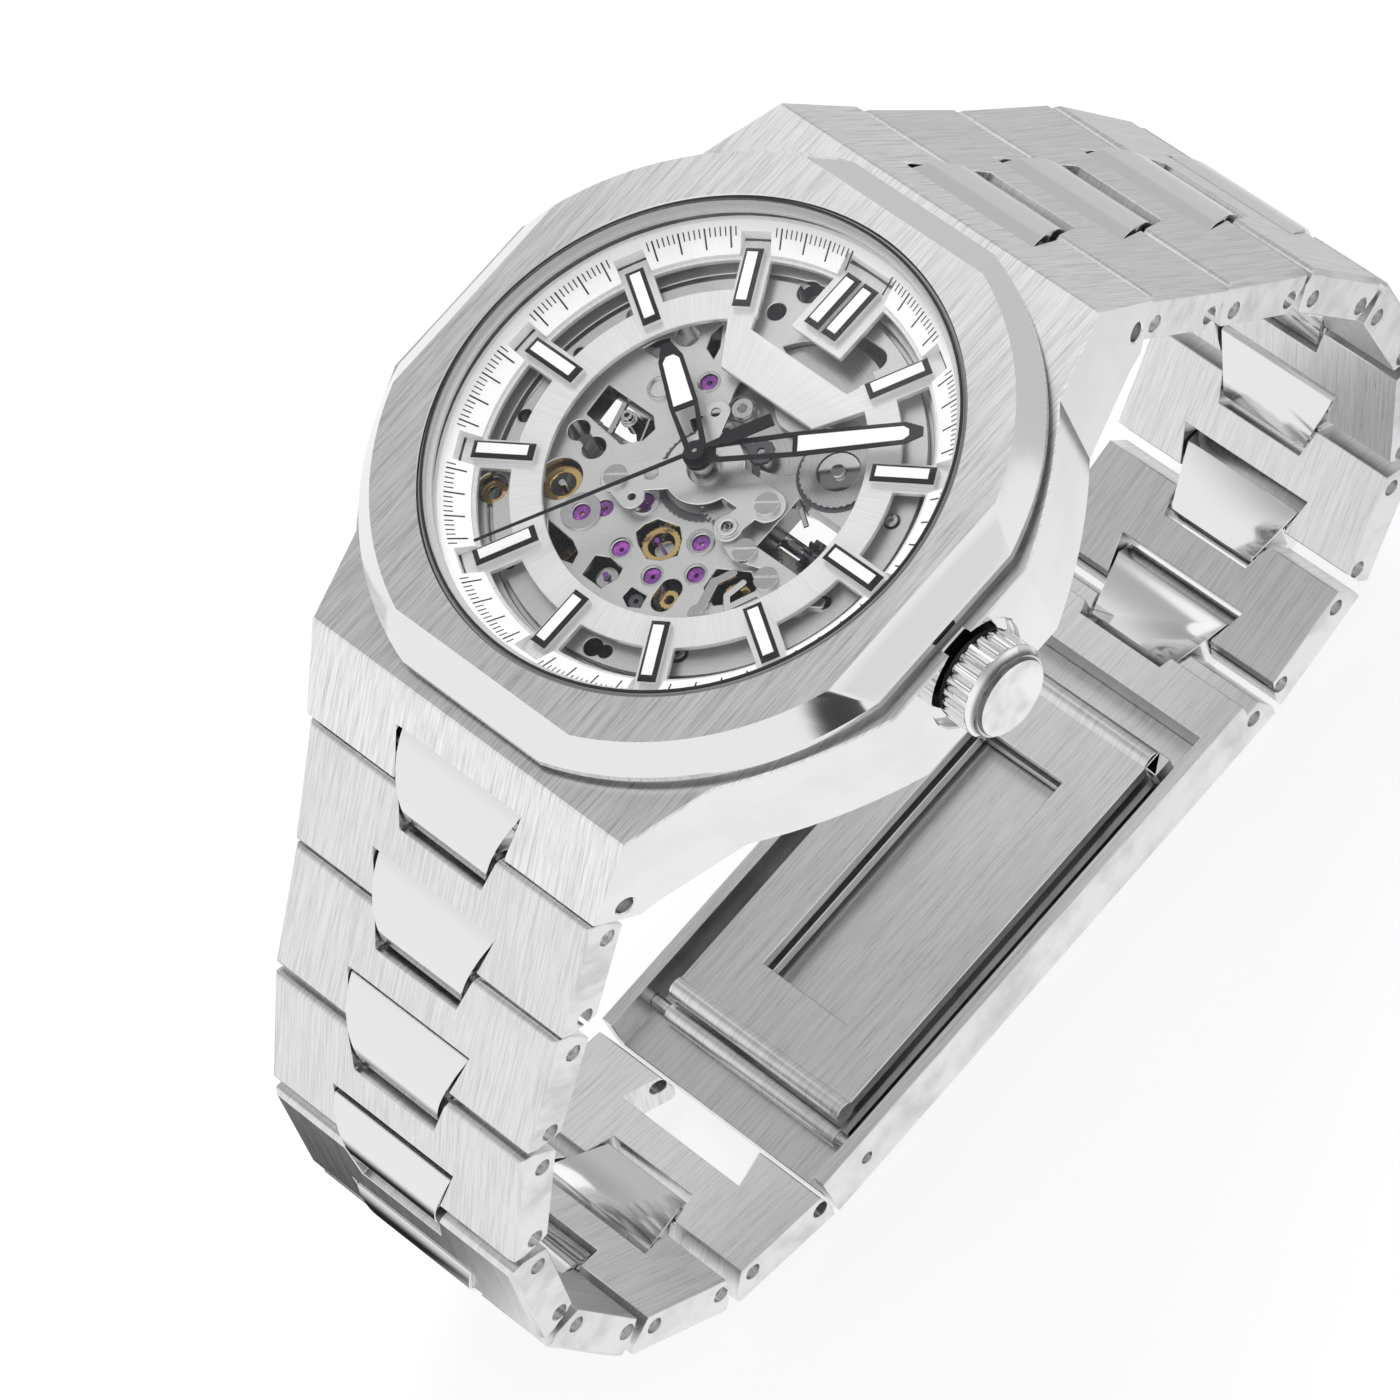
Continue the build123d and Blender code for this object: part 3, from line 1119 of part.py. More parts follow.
def side_section(y_top, y_low):
    """Link plate seen from the side: flat top with broken edges and undercut ends."""
    return [
        (y_top - EDGE, 0),
        (y_top, -EDGE),
        (y_top, -1.1),
        (y_top - UNDERCUT, -LINK_T),
        (y_low + UNDERCUT, -LINK_T),
        (y_low, -1.1),
        (y_low, -EDGE),
        (y_low + EDGE, 0),
    ]


def link_plate(top_half, low_half, top_gap):
    """H-shaped plate in its joint frame, with notches for the connectors."""
    y_top = -top_gap
    y_low = -LINK_PITCH + LINK_GAP / 2
    face = make_face(Polyline(*[(0, y, z) for y, z in side_section(y_top, y_low)], close=True))
    body = extrude(face, top_half + 1, dir=(1, 0, 0), both=True)
    wall = slab([(-top_half, 1), (top_half, 1), (low_half, -LINK_PITCH - 1), (-low_half, -LINK_PITCH - 1)], -4, 6)
    body = body & wall
    # broken long edges
    for s in (1, -1):
        a = (s * (top_half - EDGE), 1)
        b = (s * (low_half - EDGE), -LINK_PITCH - 1)
        body = body - corner_prism(a, b, s)
    body = body - slab(connector_outline(NOTCH_GAP), -5, 8)
    half = CONNECTOR_TOP_W + NOTCH_GAP
    up = CONNECTOR_UP + NOTCH_GAP
    narrow = (CONNECTOR_TOP_W - CONNECTOR_LOW_W) / (CONNECTOR_UP + CONNECTOR_DOWN)
    foot = half - narrow * (up + 1)
    notch = [(-half, up), (half, up), (foot, -1), (-foot, -1)]
    body = body - slab([(x, y - LINK_PITCH) for x, y in notch], -5, 8)
    y_pin = PIN_UP - LINK_PITCH
    body = body - x_cylinder(PIN_R + RUN_GAP, -20, 20, y_pin, -PIN_DEPTH)
    return body - x_cylinder(PIN_R + SEAT_GAP, -20, 20, -PIN_DOWN, -PIN_DEPTH)


def corner_prism(a, b, s):
    """Bevel cutter along a plate's long top edge from a to b."""
    far = 3.0
    section_a = [(a[0], a[1], 0.001), (a[0] + s * far, a[1], 0.001), (a[0] + s * far, a[1], -far)]
    section_b = [(b[0], b[1], 0.001), (b[0] + s * far, b[1], 0.001), (b[0] + s * far, b[1], -far)]
    faces = [make_face(Polyline(*section, close=True)) for section in (section_a, section_b)]
    return loft(faces, ruled=True)


def connector():
    """Polished centre piece with a gently domed top across two plates."""
    up, down = CONNECTOR_UP, CONNECTOR_DOWN
    crown = CONNECTOR_CROWN
    profile = [
        Line((0, up, -0.45), (0, up, -1.6)),
        Line((0, up, -1.6), (0, up - 1.1, -LINK_T)),
        Line((0, up - 1.1, -LINK_T), (0, -down + 0.6, -LINK_T)),
        Line((0, -down + 0.6, -LINK_T), (0, -down, -1.9)),
        Line((0, -down, -1.9), (0, -down, -0.6)),
        ThreePointArc((0, -down, -0.6), (0, (up - down) / 2, crown), (0, up, -0.45)),
    ]
    body = extrude(make_face(profile), CONNECTOR_TOP_W + 1, dir=(1, 0, 0), both=True)
    body = body & slab(connector_outline(0), -6, 9)
    body = body - x_cylinder(PIN_R + SEAT_GAP, -20, 20, PIN_UP, -PIN_DEPTH)
    return body - x_cylinder(PIN_R + SEAT_GAP, -20, 20, -PIN_DOWN, -PIN_DEPTH)


def link_pin(half, y):
    return x_cylinder(PIN_R, -half, half, y, -PIN_DEPTH)


def make_link(side, index):
    """Plate, connector and the two pins of one link, placed on the bracelet."""
    half = WIDTHS[index] - PIN_HEAD - 0.35
    at_plate = plate_frame(side, index)
    at_connector = connector_frame(side, index)
    top_gap = LINK_GAP / 2 + (FREE_GAP if index == 0 else 0)
    plate = at_plate * link_plate(WIDTHS[index], WIDTHS[index + 1], top_gap)
    pins = [at_connector * link_pin(half, y) for y in (PIN_UP, -PIN_DOWN)]
    return [plate, at_connector * connector()] + pins


# ---- folding clasp ----
CLASP_GAP = 0.35
CLASP_AT = CHAIN[-1][0]
LAST_LINK_AT, LAST_LINK_SLOPE = CHAIN[-2][:2]
LAST_LINK_END = LAST_LINK_AT[0] + turned(LAST_LINK_SLOPE, -LINK_PITCH, 0)[0]
CLASP_LEN = CLASP_AT[0] + LAST_LINK_END
CLASP_DEPTH = 4.0
BLADE_T = 0.8
BLADE_HALF_W = 7.6
HINGE_BACK = 3.4        # blade pivot, from the cover's free end
BLADE_A_Z = -2.05
BLADE_B_Z = -3.15


def clasp_frame():
    return plate_frame(1, len(SLOPES))


def make_clasp_cover():
    """Cover plate with side walls and a connector to the last link."""
    half = WIDTHS[-1]
    low = -CLASP_LEN + CLASP_GAP
    body = bar(-half, half, low, -LINK_GAP / 2, -CLASP_DEPTH, 0)
    body = chamfer(body.edges().filter_by(Axis.Y).group_by(Axis.Z)[-1], 0.3)
    wall = half - CLASP_SIDE_T
    body = body - bar(-wall, wall, low - 1, -5.2, -CLASP_DEPTH - 1, -CLASP_T)
    body = body - slab(connector_outline(NOTCH_GAP), -6, 9)
    body = body - bar(-half - 1, half + 1, -2, 2, -CLASP_DEPTH - 1, -LINK_T)
    y_top = -LINK_GAP / 2
    wedge = [(y_top, -1.1), (y_top - UNDERCUT, -LINK_T), (y_top - UNDERCUT, -LINK_T - 2), (y_top + 2, -LINK_T - 2),
             (y_top + 2, -1.1)]
    face = make_face(Polyline(*[(0, y, z) for y, z in wedge], close=True))
    body = body - extrude(face, half + 1, dir=(1, 0, 0), both=True)
    y_hinge = low + HINGE_BACK
    body = body - x_cylinder(PIN_R + SEAT_GAP, -20, 20, -PIN_DOWN, -PIN_DEPTH)
    body = body - x_cylinder(0.4 + RUN_GAP, -20, 20, y_hinge, BLADE_A_Z)
    half_pin = half - 0.6
    at_connector = connector_frame(1, len(SLOPES))
    pins = [at_connector * link_pin(half_pin, y) for y in (PIN_UP, -PIN_DOWN)]
    return [clasp_frame() * body, at_connector * connector()] + pins


def blade(y0, y1, z, half):
    """Flat blade between two knuckles."""
    body = bar(-half, half, y0, y1, z - BLADE_T / 2, z + BLADE_T / 2)
    body = body + x_cylinder(0.75, -half, half, y0, z) + x_cylinder(0.75, -half, half, y1, z)
    slot = (y1 - y0) / 2
    middle = (y0 + y1) / 2
    return body - bar(-half / 2, half / 2, middle - slot * 0.7, middle + slot * 0.7, z - 2, z + 2)


def make_clasp_blades():
    """Long blade pivoted in the cover's free end, and the blade that folds back on it."""
    y_hinge = -CLASP_LEN + CLASP_GAP + HINGE_BACK
    y_fold = -8.2
    half = BLADE_HALF_W
    long_blade = blade(y_hinge, y_fold, BLADE_A_Z, half)
    pin = x_cylinder(0.4, -WIDTHS[-1] + 0.4, WIDTHS[-1] - 0.4, y_hinge, BLADE_A_Z)
    long_blade = long_blade + pin - x_cylinder(0.4 + RUN_GAP, -20, 20, y_fold, BLADE_A_Z)
    fold = bar(-half - 0.9, -half - 0.15, y_fold - 0.7, y_fold + 0.7, BLADE_B_Z - 0.5, BLADE_A_Z + 0.6)
    short = blade(y_hinge + 1.2, y_fold, BLADE_B_Z - 0.55, half)
    short = short + fold + mirror(fold, Plane.YZ)
    short = short + bar(-half - 0.9, half + 0.9, y_fold - 0.7, y_fold + 0.7, BLADE_B_Z - 0.9, BLADE_B_Z - 0.2)
    short = short + x_cylinder(0.4, -half - 0.5, half + 0.5, y_fold, BLADE_A_Z)
    frame = clasp_frame()
    return frame * long_blade, frame * short


# ---- build ----
def main():
    os.makedirs("parts", exist_ok=True)
    nodes = {
        "case_middle": [make_case_middle(), make_crown_tube()],
        "bezel": make_bezel(),
        "crystal": make_crystal(),
        "case_gaskets": [make_crystal_gasket(), make_back_gasket()],
        "case_back": make_case_back(),
        "back_crystal": make_back_crystal(),
        "movement_ring": make_movement_ring(),
        "skeleton_dial": make_dial(),
        "chapter_ring": make_chapter_ring(),
        "hour_markers": around_dial(marker_bar()),
        "marker_lume": around_dial(lume_bar()),
        "main_plate": [make_main_plate()] + make_jewel_settings(),
        "train_bridge": [make_train_bridge(), make_rotor_bearing()],
        "barrel_bridge": make_barrel_bridge(),
        "balance_cock": make_balance_cock(),
        "pallet_bridge": make_pallet_bridge(),
        "minute_bridge": make_minute_bridge(),
        "keyless_cover": make_keyless_cover(),
        "jewels": make_jewels(),
        "bridge_screws": make_bridge_screws() + make_cover_screws(),
        "setting_lever": make_setting_lever(),
        "yoke": make_yoke(),
        "barrel": make_barrel(),
        "mainspring": make_mainspring(),
        "ratchet_wheel": make_ratchet_wheel(),
        "center_wheel": make_center_wheel(),
        "third_wheel": make_third_wheel(),
        "fourth_wheel": make_fourth_wheel(),
        "escape_wheel": make_escape_wheel(),
        "pallet_fork": make_pallet_fork(),
        "balance_wheel": make_balance(),
        "hairspring": make_hairspring(),
        "cannon_pinion": make_cannon_pinion(),
        "minute_wheel": make_minute_wheel(),
        "hour_wheel": make_hour_wheel(),
        "hour_hand": [make_hour_hand(), make_hour_lume()],
        "minute_hand": [make_minute_hand(), make_minute_lume()],
        "second_hand": make_second_hand(),
        "crown": [make_crown(), make_stem()],
        "crown_gasket": make_crown_gasket(),
        "winding_pinion": make_winding_pinion(),
        "sliding_pinion": make_sliding_pinion(),
        "rotor": make_rotor(),
        "clasp_cover": make_clasp_cover(),
    }
    long_blade, short_blade = make_clasp_blades()
    nodes["clasp_long_blade"] = long_blade
    nodes["clasp_short_blade"] = short_blade
    for side, name in ((-1, "six"), (1, "twelve")):
        for index in range(len(SLOPES)):
            nodes[f"link_{name}_{index + 1}"] = make_link(side, index)
    for node, solids in nodes.items():
        save(node, solids)


main()
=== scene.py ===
"""Looks of a skeleton wristwatch on a closed steel bracelet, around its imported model.

Metres, +Z out of the dial, +Y to twelve o'clock, +X to the crown.
The origin is the middle of the case back's outer face.
"""
import json
import logging
import math
from dataclasses import dataclass
from enum import Enum
from typing import Callable, ClassVar, Iterable, Union

import bpy
from mathutils import Matrix, Vector

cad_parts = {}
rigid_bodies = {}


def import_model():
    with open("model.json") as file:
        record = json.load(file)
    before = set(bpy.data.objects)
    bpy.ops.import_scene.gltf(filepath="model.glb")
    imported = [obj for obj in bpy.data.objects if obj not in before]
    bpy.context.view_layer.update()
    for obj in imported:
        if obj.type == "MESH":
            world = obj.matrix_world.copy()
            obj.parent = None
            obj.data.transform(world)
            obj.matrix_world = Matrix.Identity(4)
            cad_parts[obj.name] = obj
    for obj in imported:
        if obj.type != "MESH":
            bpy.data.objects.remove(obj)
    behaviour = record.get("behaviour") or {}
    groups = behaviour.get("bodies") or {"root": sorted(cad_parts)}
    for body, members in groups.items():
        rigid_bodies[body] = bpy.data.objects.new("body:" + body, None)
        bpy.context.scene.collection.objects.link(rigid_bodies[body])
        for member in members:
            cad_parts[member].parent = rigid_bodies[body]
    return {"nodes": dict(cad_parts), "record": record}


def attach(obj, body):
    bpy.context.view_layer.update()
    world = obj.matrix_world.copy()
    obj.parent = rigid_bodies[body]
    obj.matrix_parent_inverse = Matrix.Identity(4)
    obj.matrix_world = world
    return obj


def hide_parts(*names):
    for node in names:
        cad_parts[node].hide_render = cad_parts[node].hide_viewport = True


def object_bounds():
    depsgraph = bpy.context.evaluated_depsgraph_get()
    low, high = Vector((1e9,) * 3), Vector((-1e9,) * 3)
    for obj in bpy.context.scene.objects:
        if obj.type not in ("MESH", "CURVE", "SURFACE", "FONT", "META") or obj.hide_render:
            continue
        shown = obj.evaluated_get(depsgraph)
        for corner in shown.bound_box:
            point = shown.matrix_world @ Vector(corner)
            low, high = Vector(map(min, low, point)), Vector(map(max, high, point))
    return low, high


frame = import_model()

CAD_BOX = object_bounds()
MM = 0.001
LOG = logging.getLogger("wristwatch")

Triple = tuple[float, float, float]
Colour = Triple


# ---------------------------------------------------------------- shader maths


class Signal:
    """A shader socket that can be used in Python expressions."""

    def __init__(self, graph: "Graph", socket: bpy.types.NodeSocket) -> None:
        """Wraps a socket.

        Args:
            graph: the graph that the socket belongs to.
            socket: an output socket.
        """
        self.graph = graph
        self.socket = socket

    def math(self, operation: str, other: "Value") -> "Signal":
        """Adds a Math node.

        Args:
            operation: the Math node's operation.
            other: its second value.

        Returns:
            The node's result.
        """
        values = {0: self, 1: other}
        return self.graph.out(self.graph.add("ShaderNodeMath", {"operation": operation}, values))

    def __add__(self, other: "Value") -> "Signal":
        """Sum."""
        return self.math("ADD", other)

    def __sub__(self, other: "Value") -> "Signal":
        """Difference."""
        return self.math("SUBTRACT", other)

    def __rsub__(self, other: "Value") -> "Signal":
        """Reflected difference."""
        return (self * -1.0) + other

    def __mul__(self, other: "Value") -> "Signal":
        """Product."""
        return self.math("MULTIPLY", other)

    def __truediv__(self, other: "Value") -> "Signal":
        """Quotient."""
        return self.math("DIVIDE", other)

    def __pow__(self, other: "Value") -> "Signal":
        """Power."""
        return self.math("POWER", other)

    def between(self, low: float, high: float) -> "Signal":
        """Smooth step of the value.

        Args:
            low: the value that gives 0.
            high: the value that gives 1.

        Returns:
            A value from 0 to 1.
        """
        settings = {"interpolation_type": "SMOOTHSTEP"}
        values = {"Value": self, "From Min": low, "From Max": high}
        return self.graph.out(self.graph.add("ShaderNodeMapRange", settings, values))


Value = Union[float, Signal]
Tint = Union[Colour, Signal]


def distance(x: Signal, y: Signal) -> Signal:
    """Distance from an axis, out of the two parts across it."""
    return (x * x + y * y) ** 0.5


class Graph:
    """The nodes of one material or world."""

    def __init__(self, tree: bpy.types.NodeTree) -> None:
        """Empties a node tree.

        Args:
            tree: the tree to fill.
        """
        self.tree = tree
        tree.nodes.clear()

    def add(self, kind: str, settings: dict, inputs: dict) -> bpy.types.Node:
        """Adds a node.

        Args:
            kind: the node's type name.
            settings: properties that are set first.
            inputs: values or signals, by socket name or number.

        Returns:
            The new node.
        """
        node = self.tree.nodes.new(kind)
        for name, value in settings.items():
            setattr(node, name, value)
        for name, value in inputs.items():
            if isinstance(value, Signal):
                self.tree.links.new(value.socket, node.inputs[name])
            else:
                node.inputs[name].default_value = value
        return node

    def out(self, node: bpy.types.Node, name: Union[int, str] = 0) -> Signal:
        """One output of a node as a signal."""
        return Signal(self, node.outputs[name])

    def place(self) -> Signal:
        """Object coordinates."""
        return self.out(self.add("ShaderNodeTexCoord", {}, {}), "Object")

    def ray(self, kind: str) -> Signal:
        """1 for rays of one kind, such as "Is Glossy Ray", else 0."""
        return self.out(self.add("ShaderNodeLightPath", {}, {}), kind)

    def mapped(self, cells: Triple, turn: Triple = (0.0, 0.0, 0.0)) -> Signal:
        """Object coordinates, scaled and turned.

        Args:
            cells: cells per metre along each axis.
            turn: rotation in radians.

        Returns:
            The mapped vector.
        """
        values = {"Vector": self.place(), "Rotation": turn, "Scale": cells}
        return self.out(self.add("ShaderNodeMapping", {"vector_type": "POINT"}, values))

    def noise(self, vector: Signal, detail: float = 2.0, rough: float = 0.5) -> Signal:
        """Noise of a vector, from 0 to 1.

        Args:
            vector: where the noise is read.
            detail: octaves.
            rough: weight of the small octaves.

        Returns:
            The noise.
        """
        values = {"Vector": vector, "Scale": 1.0, "Detail": detail, "Roughness": rough}
        return self.out(self.add("ShaderNodeTexNoise", {}, values))

    def grain(self, cells: float, detail: float = 2.0, rough: float = 0.5) -> Signal:
        """Noise of the object coordinates with as many cells per metre along every axis.

        Args:
            cells: cells per metre.
            detail: octaves.
            rough: weight of the small octaves.

        Returns:
            The noise.
        """
        return self.noise(self.mapped((cells, cells, cells)), detail, rough)

    def split(self, vector: Signal) -> tuple[Signal, Signal, Signal]:
        """The three parts of a vector."""
        node = self.add("ShaderNodeSeparateXYZ", {}, {0: vector})
        return self.out(node, 0), self.out(node, 1), self.out(node, 2)

    def join(self, x: Value, y: Value, z: Value) -> Signal:
        """A vector from its three parts."""
        return self.out(self.add("ShaderNodeCombineXYZ", {}, {0: x, 1: y, 2: z}))

    def mix(self, share: Value, first: Tint, second: Tint) -> Signal:
        """Mixes two colours.

        Args:
            share: weight of the second colour.
            first: a colour or a signal.
            second: a colour or a signal.

        Returns:
            The mixed colour.
        """
        node = self.add("ShaderNodeMix", {"data_type": "RGBA"}, {"Factor": share})
        for name, value in (("A", first), ("B", second)):
            socket = next(s for s in node.inputs if s.name == name and s.type == "RGBA")
            if isinstance(value, Signal):
                self.tree.links.new(value.socket, socket)
            else:
                socket.default_value = (*value, 1.0)
        return Signal(self, next(s for s in node.outputs if s.type == "RGBA"))

    def bump(self, height: Signal, strength: float, depth: float) -> Signal:
        """A normal from a height.

        Args:
            height: the height, from 0 to 1.
            strength: how strongly it shows.
            depth: its depth in metres.

        Returns:
            The normal.
        """
        values = {"Height": height, "Strength": strength, "Distance": depth}
        return self.out(self.add("ShaderNodeBump", {}, values))

    def finish(self, shader: bpy.types.Node, kind: str = "ShaderNodeOutputMaterial") -> None:
        """Wires a shader to the output."""
        self.add(kind, {}, {"Surface": self.out(shader)})


def grey(level: float) -> Colour:
    """A neutral colour."""
    return (level, level, level)


def shade(colour: Colour, share: float) -> Colour:
    """A colour times a share."""
    return tuple(share * part for part in colour)


# ---------------------------------------------------------------- finishes


@dataclass(frozen=True)
class Finish:
    """A surface finish, made once and shared by the pieces that have it."""

    name: str
    slot: str

    def material(self) -> bpy.types.Material:
        """The finish's material.

        Returns:
            A new material, or the one made before.
        """
        found = bpy.data.materials.get(self.name)
        if found is not None:
            return found
        made = bpy.data.materials.new(self.name)
        made.use_nodes = True
        graph = Graph(made.node_tree)
        graph.finish(self.shader(graph))
        return made

    def shader(self, graph: Graph) -> bpy.types.Node:
        """The shader of the finish.

        Args:
            graph: the material's nodes.

        Returns:
            A shader node.
        """
        raise NotImplementedError


@dataclass(frozen=True)
class Brushed(Finish):
    """Steel with long parallel strokes that run from twelve to six."""

    tone: float = 0.80
    contrast: float = 0.13
    roughness: float = 0.30
    stroke_width: float = 0.065 * MM
    stroke_length: float = 2.4 * MM
    depth: float = 0.012 * MM

    def shader(self, graph: Graph) -> bpy.types.Node:
        """Strokes in the colour, the roughness and the height."""
        across = 1.0 / self.stroke_width
        along = 1.0 / self.stroke_length
        fine = graph.noise(graph.mapped((across, along, along)), 2.0, 0.6)
        broad = graph.noise(graph.mapped((across / 3.2, along / 3, along / 3)), 1.0)
        strokes = fine * 0.65 + broad * 0.35
        light = grey(self.tone * (1.0 + self.contrast))
        dark = grey(self.tone * (1.0 - 2.2 * self.contrast))
        handling = graph.grain(60.0)
        values = {
            "Base Color": graph.mix(strokes.between(0.28, 0.62), dark, light),
            "Metallic": 1.0,
            "Roughness": strokes * 0.16 + handling * 0.06 + (self.roughness - 0.11),
            "Normal": graph.bump(strokes, 0.5, self.depth),
        }
        return graph.add("ShaderNodeBsdfPrincipled", {}, values)


@dataclass(frozen=True)
class Polished(Finish):
    """Mirror steel with the faint haze and hairlines of handling."""

    colour: Colour = (0.83, 0.83, 0.84)
    roughness: float = 0.07
    hairline: float = 0.004 * MM

    def shader(self, graph: Graph) -> bpy.types.Node:
        """Faint haze in the roughness and hairlines in the height."""
        haze = graph.grain(220.0, 3.0)
        hair = graph.noise(graph.mapped((900.0, 5200.0, 2600.0), (0.3, 0.2, 0.6)), 1.0)
        values = {
            "Base Color": graph.mix(haze.between(0.35, 0.7), self.colour, shade(self.colour, 0.94)),
            "Metallic": 1.0,
            "Roughness": haze * 0.05 + hair * 0.03 + (self.roughness - 0.04),
            "Normal": graph.bump(hair, 0.06, self.hairline),
        }
        return graph.add("ShaderNodeBsdfPrincipled", {}, values)


@dataclass(frozen=True)
class Fluted(Finish):
    """Polished crown with painted shade in its grooves, which are darker than its ridges."""

    axis_z: float = 4.6 * MM
    groove: float = 2.72 * MM
    ridge: float = 2.98 * MM
    wander: float = 0.04 * MM

    def shader(self, graph: Graph) -> bpy.types.Node:
        """Painted shade below the ridges, with faint haze."""
        _, y, z = graph.split(graph.place())
        radius = distance(y, z - self.axis_z)
        haze = graph.grain(400.0)
        share = (radius + haze * self.wander).between(self.groove, self.ridge)
        values = {
            # painted shade: grey 0.16 in the grooves, grey 0.88 on the ridges
            "Base Color": graph.mix(share, grey(0.16), grey(0.88)),
            "Metallic": 1.0,
            "Roughness": haze * 0.05 + 0.05,
        }
        return graph.add("ShaderNodeBsdfPrincipled", {}, values)


@dataclass(frozen=True)
class Frosted(Finish):
    """Fine sandblasted plating."""

    colour: Colour = (0.78, 0.78, 0.77)
    metallic: float = 1.0
    roughness: float = 0.42
    cell: float = 0.09 * MM
    depth: float = 0.02 * MM

    def shader(self, graph: Graph) -> bpy.types.Node:
        """Grain in the colour, the roughness and the height."""
        grain = graph.grain(1.0 / self.cell, 3.0, 0.7)
        cloud = graph.grain(300.0)
        share = (grain * 0.7 + cloud * 0.3).between(0.3, 0.7)
        values = {
            "Base Color": graph.mix(share, shade(self.colour, 0.86), self.colour),
            "Metallic": self.metallic,
            "Roughness": grain * 0.14 + (self.roughness - 0.07),
            "Normal": graph.bump(grain, 0.35, self.depth),
        }
        return graph.add("ShaderNodeBsdfPrincipled", {}, values)


@dataclass(frozen=True)
class Snailed(Finish):
    """Wheels and plates with fine rings about the dial's centre."""

    colour: Colour = (0.85, 0.60, 0.22)
    roughness: float = 0.24
    pitch: float = 0.07 * MM
    depth: float = 0.006 * MM

    def shader(self, graph: Graph) -> bpy.types.Node:
        """Rings in the colour, the roughness and the height."""
        x, y, _ = graph.split(graph.place())
        rings = graph.noise(graph.join(distance(x, y) / self.pitch, 0.0, 0.0))
        dust = graph.grain(2500.0)
        values = {
            "Base Color": graph.mix(rings.between(0.3, 0.7), shade(self.colour, 0.72), self.colour),
            "Metallic": 1.0,
            "Roughness": rings * 0.12 + dust * 0.08 + (self.roughness - 0.1),
            "Normal": graph.bump(rings, 0.25, self.depth),
        }
        return graph.add("ShaderNodeBsdfPrincipled", {}, values)


@dataclass(frozen=True)
class Lacquer(Finish):
    """Dark lacquer, ink or rubber with a fine texture and a weak shine."""

    colour: Colour = (0.012, 0.012, 0.014)
    roughness: float = 0.42
    shine: float = 0.22
    cell: float = 0.05 * MM
    depth: float = 0.005 * MM

    def shader(self, graph: Graph) -> bpy.types.Node:
        """A light mottle in the colour, the roughness and the height."""
        grain = graph.grain(1.0 / self.cell)
        values = {
            "Base Color": graph.mix(grain.between(0.35, 0.65), self.colour, shade(self.colour, 1.12)),
            "Roughness": grain * 0.1 + (self.roughness - 0.05),
            "Specular IOR Level": self.shine,
            "Normal": graph.bump(grain, 0.2, self.depth),
        }
        return graph.add("ShaderNodeBsdfPrincipled", {}, values)


@dataclass(frozen=True)
class Rimmed(Finish):
    """Pale nylon gasket with a dark upper rim."""

    rim_z: float = 10.98 * MM
    rim_blend: float = 0.03 * MM
    wander: float = 0.02 * MM
    pale: Colour = (0.55, 0.55, 0.54)
    dark: Colour = (0.015, 0.015, 0.015)

    def shader(self, graph: Graph) -> bpy.types.Node:
        """Dark above the rim's height, with a soft mottle."""
        _, _, height = graph.split(graph.place())
        mottle = graph.grain(4000.0)
        rim = (height + mottle * self.wander).between(self.rim_z - self.rim_blend, self.rim_z)
        values = {
            "Base Color": graph.mix(rim, self.pale, self.dark),
            "Roughness": mottle * 0.1 + 0.45,
        }
        return graph.add("ShaderNodeBsdfPrincipled", {}, values)


@dataclass(frozen=True)
class Sunray(Finish):
    """Pale satin with fine rays from the dial's centre."""

    colour: Colour = (0.86, 0.86, 0.86)
    metallic: float = 0.55
    roughness: float = 0.38
    contrast: float = 0.10
    depth: float = 0.006 * MM

    def shader(self, graph: Graph) -> bpy.types.Node:
        """Rays in the colour, the roughness and the height."""
        x, y, z = graph.split(graph.place())
        angle = y.math("ARCTAN2", x)
        rays = graph.noise(graph.join(angle * 160.0, distance(x, y) * 260.0, z * 900.0))
        grain = graph.grain(9000.0)
        values = {
            "Base Color": graph.mix(
                rays.between(0.3, 0.7), shade(self.colour, 1.0 - self.contrast), self.colour
            ),
            "Metallic": self.metallic,
            "Roughness": rays * 0.10 + grain * 0.06 + (self.roughness - 0.08),
            "Normal": graph.bump(rays * 0.6 + grain * 0.4, 0.2, self.depth),
        }
        return graph.add("ShaderNodeBsdfPrincipled", {}, values)


@dataclass(frozen=True)
class Ruby(Finish):
    """Clear purple synthetic ruby with a paler heart."""

    colour: Colour = (0.20, 0.015, 0.30)
    heart: Colour = (0.52, 0.10, 0.62)

    def shader(self, graph: Graph) -> bpy.types.Node:
        """Deep colour with pale inner clouds."""
        cloud = graph.grain(1800.0, 3.0)
        values = {
            "Base Color": graph.mix(cloud.between(0.42, 0.66), self.colour, self.heart),
            "Roughness": cloud * 0.08 + 0.02,
            "Coat Weight": 1.0,
            "Coat Roughness": 0.02,
            "IOR": 1.76,
        }
        return graph.add("ShaderNodeBsdfPrincipled", {}, values)


@dataclass(frozen=True)
class Sapphire(Finish):
    """Coated crystal: clear straight through, brighter at a glancing angle."""

    tint: Colour = (0.92, 0.95, 1.0)
    clear: float = 0.025
    glance: float = 0.30

    def shader(self, graph: Graph) -> bpy.types.Node:
        """A thin mirror whose strength grows at the edge."""
        facing = graph.out(graph.add("ShaderNodeLayerWeight", {}, {"Blend": 0.5}), "Facing")
        wipe = graph.grain(90.0)
        values = {
            "Base Color": (*self.tint, 1.0),
            "Metallic": 1.0,
            "Roughness": wipe * 0.02 + 0.01,
            "Alpha": (facing ** 4.0) * self.glance + self.clear,
        }
        return graph.add("ShaderNodeBsdfPrincipled", {}, values)


